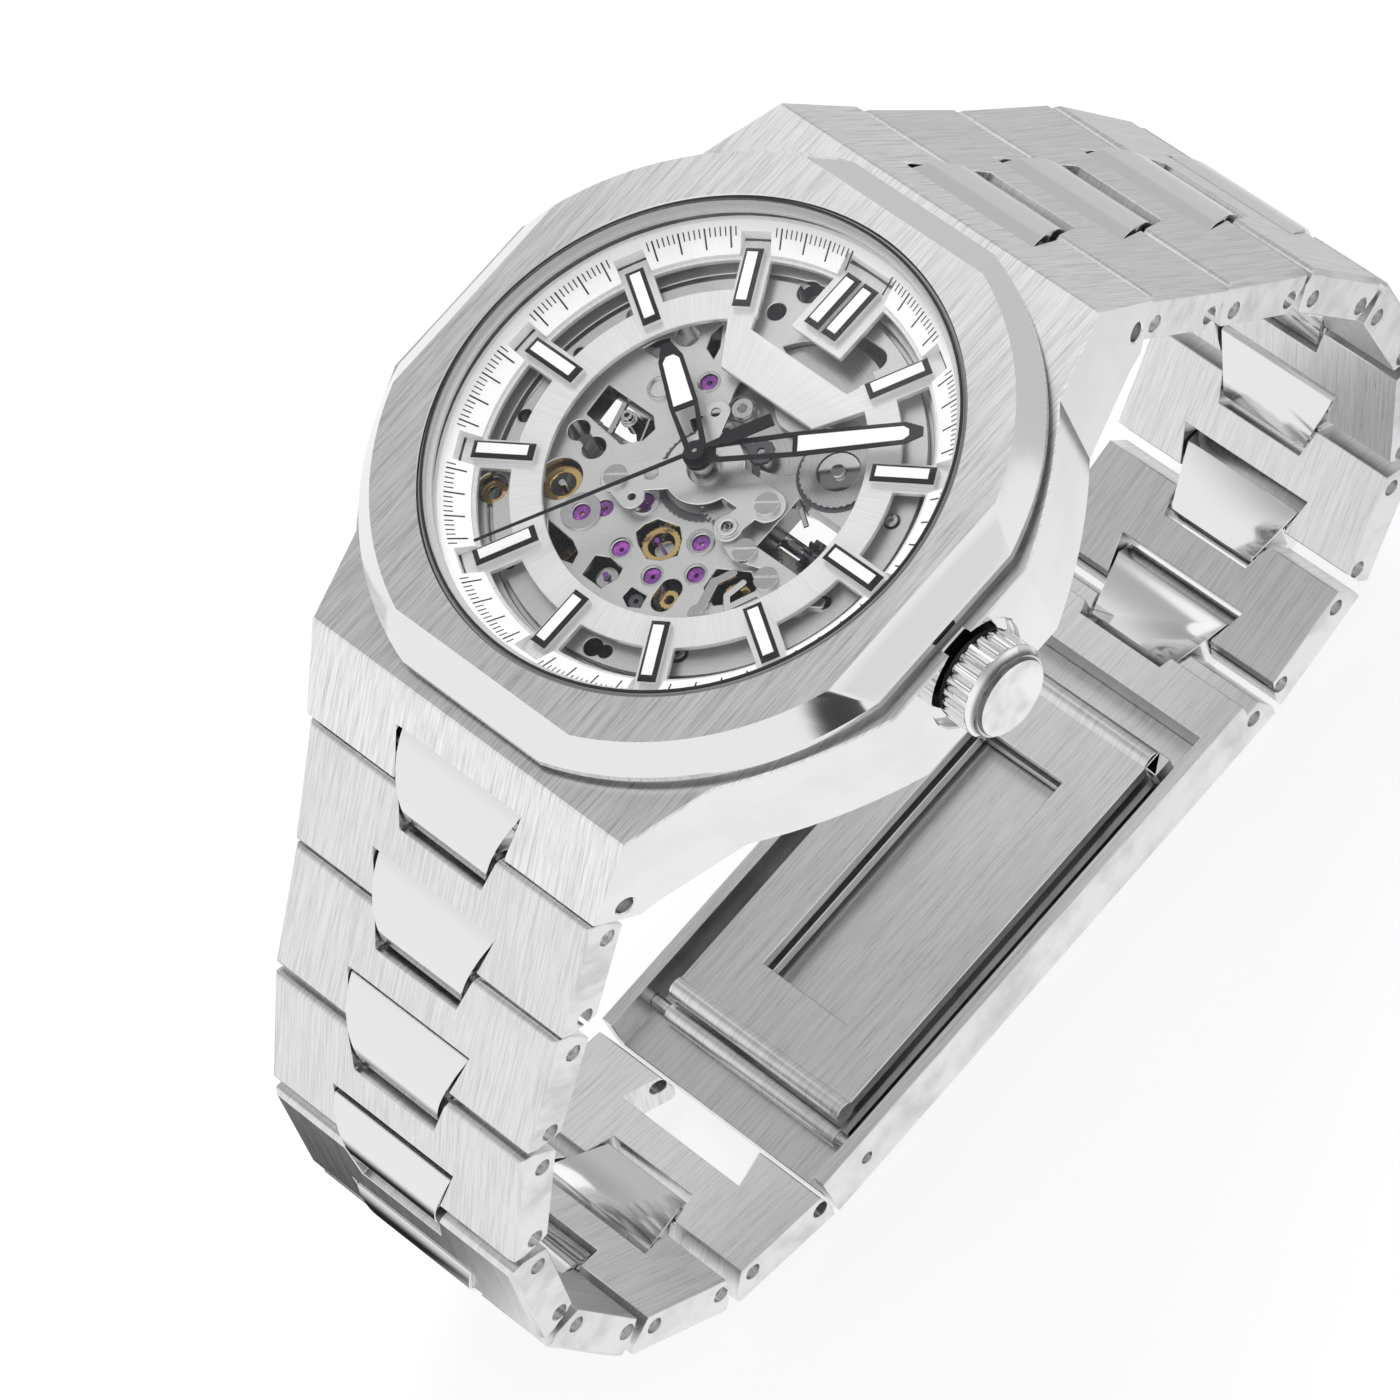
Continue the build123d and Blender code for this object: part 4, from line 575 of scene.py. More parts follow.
BRUSHED = Brushed("brushed_steel", "brushed_case")
BRUSHED_LINK = Brushed("brushed_link_steel", "brushed_case", tone=0.73, contrast=0.09)
BRUSHED_CROWN = Brushed("brushed_crown_disc", "polished_steel", stroke_width=0.08 * MM)
POLISHED = Polished("polished_steel", "polished_steel")
POLISHED_CASE = Polished("polished_case_flanks", "brushed_case")
# the crown's grooves carry painted shade
FLUTED_CROWN = Fluted("fluted_crown", "polished_steel")
SATIN_BACK = Snailed("ringed_case_back", "brushed_case", colour=(0.78, 0.78, 0.79), pitch=0.12 * MM)
CLEAR = Sapphire("sapphire_crystal", "glass")
RUBBER = Lacquer("black_rubber", "rubber", colour=(0.02, 0.02, 0.02), roughness=0.6)
GASKET = Rimmed("crystal_gasket", "rubber")

DIAL = Sunray("silver_dial_satin", "silver_dial")
CHAPTER = Sunray(
    "chapter_ring_satin", "silver_dial",
    colour=(0.97, 0.97, 0.97), metallic=0.0, roughness=0.5, contrast=0.03,
)
INK = Lacquer("minute_track_ink", "black_hands", colour=(0.015, 0.015, 0.017), roughness=0.5)
HAND_BLACK = Lacquer("black_hand_lacquer", "black_hands")
# black on the markers' upward faces around the lume; their sides stay polished
MARKER_DARK = Lacquer("black_marker_frame", "black_hands", colour=(0.012, 0.012, 0.013), roughness=0.4)
MARKER_SIDE = Polished("polished_marker", "polished_steel", colour=(0.86, 0.86, 0.87), roughness=0.16)
LUME = Frosted(
    "white_lume", "lume",
    colour=(0.93, 0.93, 0.91), metallic=0.0, roughness=0.6, cell=0.06 * MM,
)

PLATE = Frosted("frosted_rhodium", "rhodium_plate", colour=(0.90, 0.90, 0.89), roughness=0.36)
# painted shade: the upright walls of the plate's openings are dark, for the shade in the gaps
PAINTED_SHADE_WALL = Polished("shaded_plate_wall", "rhodium_plate", colour=(0.26, 0.26, 0.27), roughness=0.22)
COVER = Frosted(
    "fine_frosted_bridge", "rhodium_plate",
    colour=(0.96, 0.96, 0.96), roughness=0.30, cell=0.05 * MM, depth=0.008 * MM,
)
BRIDGE = Brushed(
    "striped_bridge", "rhodium_plate",
    tone=0.72, stroke_width=0.06 * MM, stroke_length=1.2 * MM,
)
# painted shade: the upper faces of the bridges deep in the movement are near black, for the shade in the
# openings above them
PAINTED_SHADE_TOP = Frosted("shaded_bridge_face", "dark_steel", colour=(0.10, 0.10, 0.105), roughness=0.5)
RUBY = Ruby("purple_ruby", "ruby", colour=(0.13, 0.008, 0.20), heart=(0.34, 0.05, 0.42))
GILT = Snailed("gilt_wheel", "gilt_wheel", colour=(0.98, 0.66, 0.18), roughness=0.2)
STEEL_WHEEL = Snailed("steel_wheel", "rhodium_plate", colour=(0.70, 0.70, 0.70), roughness=0.3)
# dark steel for the small wheels and pinions, and painted shade in the rings under the setting wheel,
# around the hub and in a recess of the plate
DARK_STEEL_AND_SHADE = Polished("dark_steel", "dark_steel", colour=(0.16, 0.16, 0.17), roughness=0.2)
BLUED = Polished("blued_spring", "dark_steel", colour=(0.10, 0.14, 0.30), roughness=0.15)
SCREW = Polished("polished_screw", "polished_steel", colour=(0.74, 0.74, 0.75), roughness=0.12)


# ---------------------------------------------------------------- modelling helpers


class Edge(Enum):
    """How far the edges of a piece are broken, in metres."""

    SHARP = 0.0
    FINE = 0.02 * MM
    LIGHT = 0.045 * MM
    BROKEN = 0.10 * MM


@dataclass(frozen=True)
class Part:
    """How one group of a CAD node's solids is finished."""

    name: str
    finish: Finish
    edge: Edge = Edge.SHARP


BODY_OF = {
    node: body
    for body, nodes in frame["record"]["behaviour"]["bodies"].items()
    for node in nodes
}
WELD = 0.0015 * MM
FLAT_ANGLE = math.radians(0.6)
CHAMFER_ANGLE = math.radians(34.0)


def clear_selection() -> None:
    """Deselects every object."""
    if bpy.context.object is not None and bpy.context.object.mode != "OBJECT":
        bpy.ops.object.mode_set(mode="OBJECT")
    bpy.ops.object.select_all(action="DESELECT")


def pick(*pieces: bpy.types.Object) -> None:
    """Selects only these objects and makes the first one active.

    Args:
        pieces: the objects to select.
    """
    clear_selection()
    for piece in pieces:
        piece.hide_set(False)
        piece.select_set(True)
    bpy.context.view_layer.objects.active = pieces[0]


def apply_modifier(piece: bpy.types.Object, kind: str, **settings: object) -> None:
    """Adds a modifier to a piece and applies it.

    Args:
        piece: the piece.
        kind: the modifier's type.
        settings: the modifier's properties.
    """
    pick(piece)
    modifier = piece.modifiers.new(kind.lower(), kind)
    for name, value in settings.items():
        setattr(modifier, name, value)
    bpy.ops.object.modifier_apply(modifier=modifier.name)


def smooth(piece: bpy.types.Object, degrees: float = 30.0) -> None:
    """Shades a piece smooth, with creases at its sharp turns and with its merged flats left flat.

    Args:
        piece: the piece.
        degrees: the least angle of a crease.
    """
    pick(piece)
    bpy.ops.object.shade_smooth_by_angle(angle=math.radians(degrees))
    for face in piece.data.polygons:
        if len(face.vertices) > 4:
            face.use_smooth = False


def ease_edges(piece: bpy.types.Object, edge: Edge) -> None:
    """Breaks a piece's sharp edges with a small chamfer.

    Args:
        piece: the piece.
        edge: how far its edges are broken.
    """
    if edge is Edge.SHARP:
        return
    apply_modifier(
        piece, "BEVEL", width=edge.value, segments=1, limit_method="ANGLE",
        angle_limit=CHAMFER_ANGLE, use_clamp_overlap=False,
    )


def lift_copy(node: str, name: str, merge_flats: bool = True) -> bpy.types.Object:
    """Copies a CAD node's mesh into a new merged object.

    Args:
        node: the CAD node.
        name: the new object's name.
        merge_flats: whether the triangles of each flat face become one face.

    Returns:
        The copy, in its place.
    """
    mesh = frame["nodes"][node].data.copy()
    mesh.materials.clear()
    mesh.name = name
    piece = bpy.data.objects.new(name, mesh)
    bpy.context.scene.collection.objects.link(piece)
    pick(piece)
    bpy.ops.object.mode_set(mode="EDIT")
    bpy.ops.mesh.select_all(action="SELECT")
    bpy.ops.mesh.customdata_custom_splitnormals_clear()
    bpy.ops.mesh.remove_doubles(threshold=WELD)
    if merge_flats:
        bpy.ops.mesh.dissolve_limited(angle_limit=FLAT_ANGLE)
    bpy.ops.object.mode_set(mode="OBJECT")
    return piece


def part_loose(piece: bpy.types.Object) -> list[bpy.types.Object]:
    """Parts a piece into its loose solids, the largest first.

    Args:
        piece: the piece, which keeps one of the solids.

    Returns:
        The solids, by falling surface area.
    """
    before = set(bpy.data.objects)
    pick(piece)
    bpy.ops.object.mode_set(mode="EDIT")
    bpy.ops.mesh.select_all(action="SELECT")
    bpy.ops.mesh.separate(type="LOOSE")
    bpy.ops.object.mode_set(mode="OBJECT")
    parts = [piece] + [made for made in bpy.data.objects if made not in before]
    return sorted(parts, key=lambda part: -sum(face.area for face in part.data.polygons))


def join(pieces: list[bpy.types.Object], name: str) -> bpy.types.Object:
    """Joins objects into one.

    Args:
        pieces: the objects, of which the first stays.
        name: the name of the result.

    Returns:
        The joined object.
    """
    pick(*pieces)
    if len(pieces) > 1:
        bpy.ops.object.join()
    pieces[0].name = name
    pieces[0].data.name = name
    return pieces[0]


def dress(
    piece: bpy.types.Object, finish: Finish, body: str, nodes: Iterable[str] = ()
) -> bpy.types.Object:
    """Gives a finished piece its material and its body, and hides the CAD nodes that it stands for.

    Args:
        piece: the piece.
        finish: its finish.
        body: the CAD body that it rides on.
        nodes: the CAD nodes that it stands for.

    Returns:
        The piece.
    """
    piece.data.materials.clear()
    piece.data.materials.append(finish.material())
    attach(piece, body)
    for node in nodes:
        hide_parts(node)
    LOG.info("%s rides on %s as %s", piece.name, body, finish.name)
    return piece


def fit_up(node: str, finish: Finish, edge: Edge = Edge.SHARP) -> bpy.types.Object:
    """Finishes a CAD node as one piece with broken edges.

    Args:
        node: the CAD node.
        finish: its finish.
        edge: how far its edges are broken.

    Returns:
        The finished piece.
    """
    piece = lift_copy(node, node + "_finished", edge is not Edge.SHARP)
    ease_edges(piece, edge)
    smooth(piece)
    return dress(piece, finish, BODY_OF[node], [node])


def fit_up_parts(node: str, *parts: Part) -> list[bpy.types.Object]:
    """Finishes the solids of a CAD node one by one, the largest first.

    Args:
        node: the CAD node.
        parts: one for each solid; the last one takes all that are left.

    Returns:
        The finished pieces.
    """
    solids = part_loose(lift_copy(node, node + "_solids", parts[0].edge is not Edge.SHARP))
    last = len(parts) - 1
    groups = [[solid] for solid in solids[:last]] + [solids[last:]]
    made = []
    for part, group in zip(parts, groups):
        piece = join(group, node + "_" + part.name)
        ease_edges(piece, part.edge)
        smooth(piece)
        made.append(dress(piece, part.finish, BODY_OF[node]))
    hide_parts(node)
    return made


def two_tone(piece: bpy.types.Object, finish: Finish, chosen: Callable[[Vector], bool]) -> None:
    """Gives the faces that a test chooses a second finish.

    Args:
        piece: the piece.
        finish: the second finish.
        chosen: a test of a face's normal.
    """
    piece.data.materials.append(finish.material())
    for face in piece.data.polygons:
        if chosen(face.normal):
            face.material_index = 1


def bar_between(
    name: str, start: Vector, end: Vector, width: float, height: float, taper: float = 0.8
) -> bpy.types.Object:
    """A thin straight bar with a narrowed top, from a cube.

    Args:
        name: the new object's name.
        start: the middle of one end's foot.
        end: the middle of the other end's foot.
        width: its width.
        height: its height.
        taper: width of its top over its foot's.

    Returns:
        The bar.
    """
    along = end - start
    side = Vector((-along.y, along.x, 0.0)).normalized() * width / 2
    up = along.cross(side).normalized()
    up = (up if up.z > 0 else -up) * height
    clear_selection()
    bpy.ops.mesh.primitive_cube_add(size=2.0)
    piece = bpy.context.object
    piece.name = name
    for vertex in piece.data.vertices:
        x, y, z = vertex.co
        narrow = taper if z > 0 else 1.0
        vertex.co = start + along * (x + 1) / 2 + side * y * narrow + up * (z + 1) / 2
    return piece


def open_middle(piece: bpy.types.Object, rim: float) -> None:
    """Cuts a round hole through a cylinder.

    Args:
        piece: the cylinder.
        rim: width of what is left around the hole.
    """
    pick(piece)
    bpy.ops.object.mode_set(mode="EDIT")
    bpy.ops.mesh.select_mode(type="FACE")
    bpy.ops.mesh.select_all(action="DESELECT")
    bpy.ops.object.mode_set(mode="OBJECT")
    for face in piece.data.polygons:
        face.select = abs(face.normal.z) > 0.5
    bpy.ops.object.mode_set(mode="EDIT")
    bpy.ops.mesh.inset(thickness=rim)
    bpy.ops.mesh.bridge_edge_loops()
    bpy.ops.object.mode_set(mode="OBJECT")


# ---------------------------------------------------------------- studio


@dataclass(frozen=True)
class SoftBox:
    """A round soft box that points at the watch; a mirrored one shows in the metal."""

    name: str
    place: Triple
    size: float
    power: float
    mirrored: bool = False

    def build(self) -> None:
        """Adds the lamp."""
        data = bpy.data.lights.new(self.name, "AREA")
        data.shape = "DISK"
        data.size = self.size
        data.energy = self.power
        lamp = bpy.data.objects.new(self.name, data)
        lamp.location = self.place
        lamp.rotation_euler = (-Vector(self.place)).to_track_quat("-Z", "Y").to_euler()
        lamp.visible_glossy = self.mirrored
        bpy.context.scene.collection.objects.link(lamp)


@dataclass(frozen=True)
class Flag:
    """A dark cloth in the room: cosines of its edge and its core, and how much it darkens."""

    toward: Triple
    edge: float
    core: float
    depth: float


@dataclass(frozen=True)
class Studio:
    """Pale floor, soft light and the camera."""

    floor_size: float = 6.0
    floor_drop: float = 0.4 * MM
    paper: tuple[float, float] = (0.93, 0.95)
    strip_near: tuple[float, float] = (0.030, 0.040)
    strip_far: tuple[float, float] = (0.052, 0.070)
    strip_right: tuple[float, float] = (0.000, 0.012)
    strip_left: tuple[float, float] = (0.045, 0.060)
    strip_tone: float = 0.02
    far_half: tuple[float, float] = (0.02, 0.09)
    far_tone: float = 0.66
    room_light: float = 0.92
    ceiling_dim: float = 0.56
    flags: tuple[Flag, ...] = (
        Flag((0.90, -0.37, 0.22), 0.985, 0.997, 0.95),
        Flag((-0.45, 0.85, 0.25), 0.80, 0.97, 0.42),
    )
    boxes: tuple[SoftBox, ...] = (
        SoftBox("key_box", (-0.35, 0.35, 0.80), 0.40, 3.6),
        SoftBox("side_box", (0.70, 0.35, 0.45), 0.40, 0.6),
        SoftBox("front_box", (-0.10, -0.75, 0.45), 0.40, 0.6),
        SoftBox("near_box", (-0.080, 0.085, 0.140), 0.09, 0.014, mirrored=True),
    )
    camera_place: Triple = (239.65, -90.39, 382.60)
    camera_right: Triple = (0.69722, 0.65634, -0.28829)
    camera_up: Triple = (-0.49992, 0.73340, 0.46066)
    lens: float = 201.09
    sensor: float = 36.0

    def build(self) -> None:
        """Sets up the whole studio."""
        bpy.context.scene.view_settings.view_transform = "Standard"
        self.camera()
        self.floor()
        self.world()
        for box in self.boxes:
            box.build()

    def camera(self) -> None:
        """Adds the camera; its place is in millimetres."""
        data = bpy.data.cameras.new("camera")
        data.lens = self.lens
        data.sensor_width = self.sensor
        data.clip_start = 0.01
        data.clip_end = 20.0
        camera = bpy.data.objects.new("camera", data)
        right, up = Vector(self.camera_right), Vector(self.camera_up)
        turn = Matrix((right, up, right.cross(up).normalized())).transposed()
        camera.matrix_world = Matrix.Translation(Vector(self.camera_place) * MM) @ turn.to_4x4()
        bpy.context.scene.collection.objects.link(camera)
        bpy.context.scene.camera = camera

    def floor(self) -> None:
        """Adds the floor just under the bracelet: plain paper, or a shaded card in the metal."""
        clear_selection()
        low = CAD_BOX[0].z - self.floor_drop
        bpy.ops.mesh.primitive_plane_add(size=self.floor_size, location=(0.0, 0.0, low))
        floor = bpy.context.object
        floor.name = "studio_floor"
        material = bpy.data.materials.new("floor_paper")
        material.use_nodes = True
        graph = Graph(material.node_tree)
        fibres = graph.grain(900.0, 3.0)
        tone = graph.mix(fibres, grey(self.paper[0]), grey(self.paper[1]))
        lit = graph.add("ShaderNodeBsdfPrincipled", {}, {"Base Color": tone, "Roughness": 0.9})
        glow = graph.add("ShaderNodeEmission", {}, {"Color": self.card(graph), "Strength": 1.0})
        share = self.seen(graph) * 0.8 + graph.ray("Is Glossy Ray") * 0.2
        inputs = {0: share, 1: graph.out(lit), 2: graph.out(glow)}
        graph.finish(graph.add("ShaderNodeMixShader", {}, inputs))
        floor.data.materials.append(material)

    def card(self, graph: Graph) -> Signal:
        """The floor's glow: white, but with a dark strip and a dimmer far half in reflections.

        Args:
            graph: the floor's nodes.

        Returns:
            The colour.
        """
        x, y, _ = graph.split(graph.place())
        toward_six, toward_nine = y * -1.0, x * -1.0
        glossy = graph.ray("Is Glossy Ray")
        strip = toward_six.between(*self.strip_near) * (1.0 - toward_six.between(*self.strip_far))
        strip = strip * toward_nine.between(*self.strip_right)
        strip = strip * (1.0 - toward_nine.between(*self.strip_left))
        pale = graph.mix(y.between(*self.far_half) * glossy, grey(1.0), grey(self.far_tone))
        return graph.mix(strip * glossy, pale, grey(self.strip_tone))

    @staticmethod
    def seen(graph: Graph) -> Signal:
        """1 for rays from the camera, a mirror or through glass, else 0.

        Args:
            graph: the nodes to add to.

        Returns:
            The mask.
        """
        camera = graph.ray("Is Camera Ray")
        mirrored = camera.math("MAXIMUM", graph.ray("Is Glossy Ray"))
        return mirrored.math("MAXIMUM", graph.ray("Is Transmission Ray"))

    def world(self) -> None:
        """Fills the room: white to the camera, softly shaded for reflections, dimmer as light."""
        world = bpy.data.worlds.new("studio_room")
        bpy.context.scene.world = world
        world.use_nodes = True
        graph = Graph(world.node_tree)
        camera = graph.ray("Is Camera Ray")
        glossy = graph.ray("Is Glossy Ray")
        level = glossy * self.room(graph) + (1.0 - glossy) * self.room_light
        level = camera + (1.0 - camera) * level
        inputs = {"Color": (*grey(1.0), 1.0), "Strength": level}
        graph.finish(graph.add("ShaderNodeBackground", {}, inputs), "ShaderNodeOutputWorld")

    def room(self, graph: Graph) -> Signal:
        """Brightness of the room: white walls, a dimmer ceiling and dark flags for the polished edges.

        Args:
            graph: the world's nodes.

        Returns:
            The brightness in the direction that is looked in.
        """
        direction = graph.out(graph.add("ShaderNodeTexCoord", {}, {}), "Generated")
        _, depth, height = graph.split(direction)
        level = 1.0 - height.between(0.30, 0.88) * depth.between(-0.75, 0.05) * self.ceiling_dim
        for flag in self.flags:
            inputs = {0: direction, 1: Vector(flag.toward).normalized()}
            node = graph.add("ShaderNodeVectorMath", {"operation": "DOT_PRODUCT"}, inputs)
            cosine = graph.out(node, "Value")
            level = level * (1.0 - cosine.between(flag.edge, flag.core) * flag.depth)
        return level


# ---------------------------------------------------------------- sub-assemblies


def faces_up(normal: Vector) -> bool:
    """Whether a face or its chamfer looks out of the dial."""
    return normal.z > 0.5


def is_wall(normal: Vector) -> bool:
    """Whether a face stands across the dial's plane."""
    return abs(normal.z) < 0.3


class Case:
    """Case middle, bezel, crystals, gaskets and back."""

    def build(self) -> None:
        """Dresses every piece of the case."""
        self.middle()
        self.bezel()
        fit_up("crystal", CLEAR, Edge.BROKEN)
        fit_up("back_crystal", CLEAR, Edge.BROKEN)
        fit_up("case_gaskets", GASKET)
        fit_up("case_back", SATIN_BACK, Edge.BROKEN)
        fit_up("movement_ring", PLATE, Edge.LIGHT)

    def middle(self) -> None:
        """Brushed top and hoods, polished flanks, and the crown tube."""
        case, tube = part_loose(lift_copy("case_middle", "case_middle_solids"))[:2]
        ease_edges(case, Edge.BROKEN)
        smooth(case, 20.0)
        case.name = "case_middle_finished"
        dress(case, BRUSHED, "head", ["case_middle"])
        two_tone(case, POLISHED_CASE, lambda normal: abs(normal.z) < 0.35 and abs(normal.x) > 0.25)
        tube.name = "crown_tube_finished"
        smooth(tube)
        dress(tube, POLISHED, "head")

    def bezel(self) -> None:
        """Brushed top with a polished bevel and a polished inner lip."""
        bezel = lift_copy("bezel", "bezel_finished", merge_flats=False)
        smooth(bezel, 24.0)
        dress(bezel, BRUSHED, "head", ["bezel"])
        two_tone(bezel, POLISHED, lambda normal: normal.z < 0.97)


@dataclass(frozen=True)
class Dial:
    """Skeleton dial, chapter ring with its minute track, markers and lume."""

    track_out: float = 15.56 * MM
    long_in: float = 14.47 * MM
    short_in: float = 15.08 * MM
    line_width: float = 0.11 * MM
    short_width: float = 0.08 * MM
    line_height: float = 0.015 * MM
    ring_in: float = 14.15 * MM
    ring_low: float = 8.26 * MM
    ring_slope: float = 0.6
    steps: int = 300
    steps_per_hour: int = 25
    steps_per_minute: int = 5
    notch_half: float = 1.05 * MM
    double_notch: float = 1.5

    def build(self) -> None:
        """Dresses every piece of the dial."""
        fit_up("skeleton_dial", DIAL, Edge.LIGHT)
        fit_up("chapter_ring", CHAPTER)
        markers = fit_up("hour_markers", MARKER_SIDE)
        two_tone(markers, MARKER_DARK, faces_up)
        fit_up("marker_lume", LUME)
        self.minute_track()

    def on_ring(self, radius: float, angle: float) -> Vector:
        """A point on the chapter ring's sloping face.

        Args:
            radius: distance from the middle.
            angle: clockwise from twelve, in radians.

        Returns:
            The point.
        """
        height = self.ring_low + (radius - self.ring_in) * self.ring_slope
        return Vector((radius * math.sin(angle), radius * math.cos(angle), height))

    def is_notched(self, step: int) -> bool:
        """Whether a line would lie under an hour marker; the notch at twelve is wider.

        Args:
            step: number of the line, clockwise from twelve.

        Returns:
            Whether the line is left out.
        """
        half_hour = self.steps_per_hour // 2
        from_marker = abs((step + half_hour) % self.steps_per_hour - half_hour)
        at_twelve = min(step, self.steps - step) <= half_hour
        notch = self.notch_half * (self.double_notch if at_twelve else 1.0)
        return from_marker * 2 * math.pi / self.steps * self.track_out < notch

    def minute_track(self) -> None:
        """Prints a long line for each minute and four short ones between."""
        lines = []
        for step in range(self.steps):
            if self.is_notched(step):
                continue
            angle = 2 * math.pi * step / self.steps
            is_minute = step % self.steps_per_minute == 0
            inner = self.long_in if is_minute else self.short_in
            width = self.line_width if is_minute else self.short_width
            start, end = self.on_ring(inner, angle), self.on_ring(self.track_out, angle)
            lines.append(bar_between("minute_line", start, end, width, self.line_height))
        dress(join(lines, "minute_track"), INK, "head")


class Hands:
    """Hour, minute and seconds hands."""

    def build(self) -> None:
        """Dresses the hands and their lume."""
        for node in ("hour_hand", "minute_hand"):
            fit_up_parts(node, Part("frame", HAND_BLACK), Part("lume", LUME))
        fit_up("second_hand", HAND_BLACK, Edge.FINE)


class Crown:
    """Crown, stem and gasket."""

    def build(self) -> None:
        """Polished flutes with a brushed disc, and the stem."""
        crown, _ = fit_up_parts(
            "crown", Part("finished", FLUTED_CROWN, Edge.LIGHT), Part("stem", POLISHED)
        )
        two_tone(crown, BRUSHED_CROWN, lambda normal: normal.x > 0.98)
        fit_up("crown_gasket", RUBBER)


@dataclass(frozen=True)
class Turned:
    """A turned piece, in millimetres: a disc, a ring, a post or a small wheel.

    The depth of its teeth is TOOTH_DEPTH times its radius over their number.
    """

    name: str
    finish: Finish
    foot: Triple
    radius: float
    height: float
    hole: float = 0.0
    teeth: int = 0

    PLAIN_SIDES: ClassVar[int] = 48
    SIDES_PER_TOOTH: ClassVar[int] = 4
    TOOTH_DEPTH: ClassVar[float] = 1.05
    RIM_SHARE: ClassVar[float] = 0.98

    def build(self) -> None:
        """Turns the piece from a cylinder, with its hole and its teeth, and dresses it."""
        foot = Vector(self.foot) * MM
        radius, height = self.radius * MM, self.height * MM
        sides = self.SIDES_PER_TOOTH * self.teeth or self.PLAIN_SIDES
        middle = foot + Vector((0.0, 0.0, height / 2))
        clear_selection()
        bpy.ops.mesh.primitive_cylinder_add(
            vertices=sides, radius=radius, depth=height, location=middle
        )
        piece = bpy.context.object
        piece.name = self.name
        bpy.ops.object.transform_apply(location=True, rotation=True, scale=True)
        if self.hole:
            open_middle(piece, radius - self.hole * MM)
        if self.teeth:
            self.cut_teeth(piece, foot, radius, sides)
        ease_edges(piece, Edge.FINE)
        smooth(piece)
        dress(piece, self.finish, "head")

    def cut_teeth(self, piece: bpy.types.Object, foot: Vector, radius: float, sides: int) -> None:
        """Pulls every second pair of the rim's corners inwards.

        Args:
            piece: the cylinder.
            foot: the middle of its lower face, in metres.
            radius: its radius, in metres.
            sides: number of its sides.
        """
        share = self.TOOTH_DEPTH / self.teeth
        for vertex in piece.data.vertices:
            spoke = Vector((vertex.co.x - foot.x, vertex.co.y - foot.y, 0.0))
            step = round(math.atan2(spoke.y, spoke.x) / (2 * math.pi) * sides)
            if spoke.length > self.RIM_SHARE * radius and step % self.SIDES_PER_TOOTH > 1:
                vertex.co -= spoke * share


@dataclass(frozen=True)
class Lever:
    """A straight flat lever or spring, in millimetres."""

    name: str
    start: Triple
    end: Triple
    width: float

    HEIGHT: ClassVar[float] = 0.22

    def build(self) -> None:
        """Makes the bar and dresses it."""
        ends = Vector(self.start) * MM, Vector(self.end) * MM
        bar = bar_between(self.name, *ends, self.width * MM, self.HEIGHT * MM)
        ease_edges(bar, Edge.FINE)
        dress(bar, SCREW, "head")


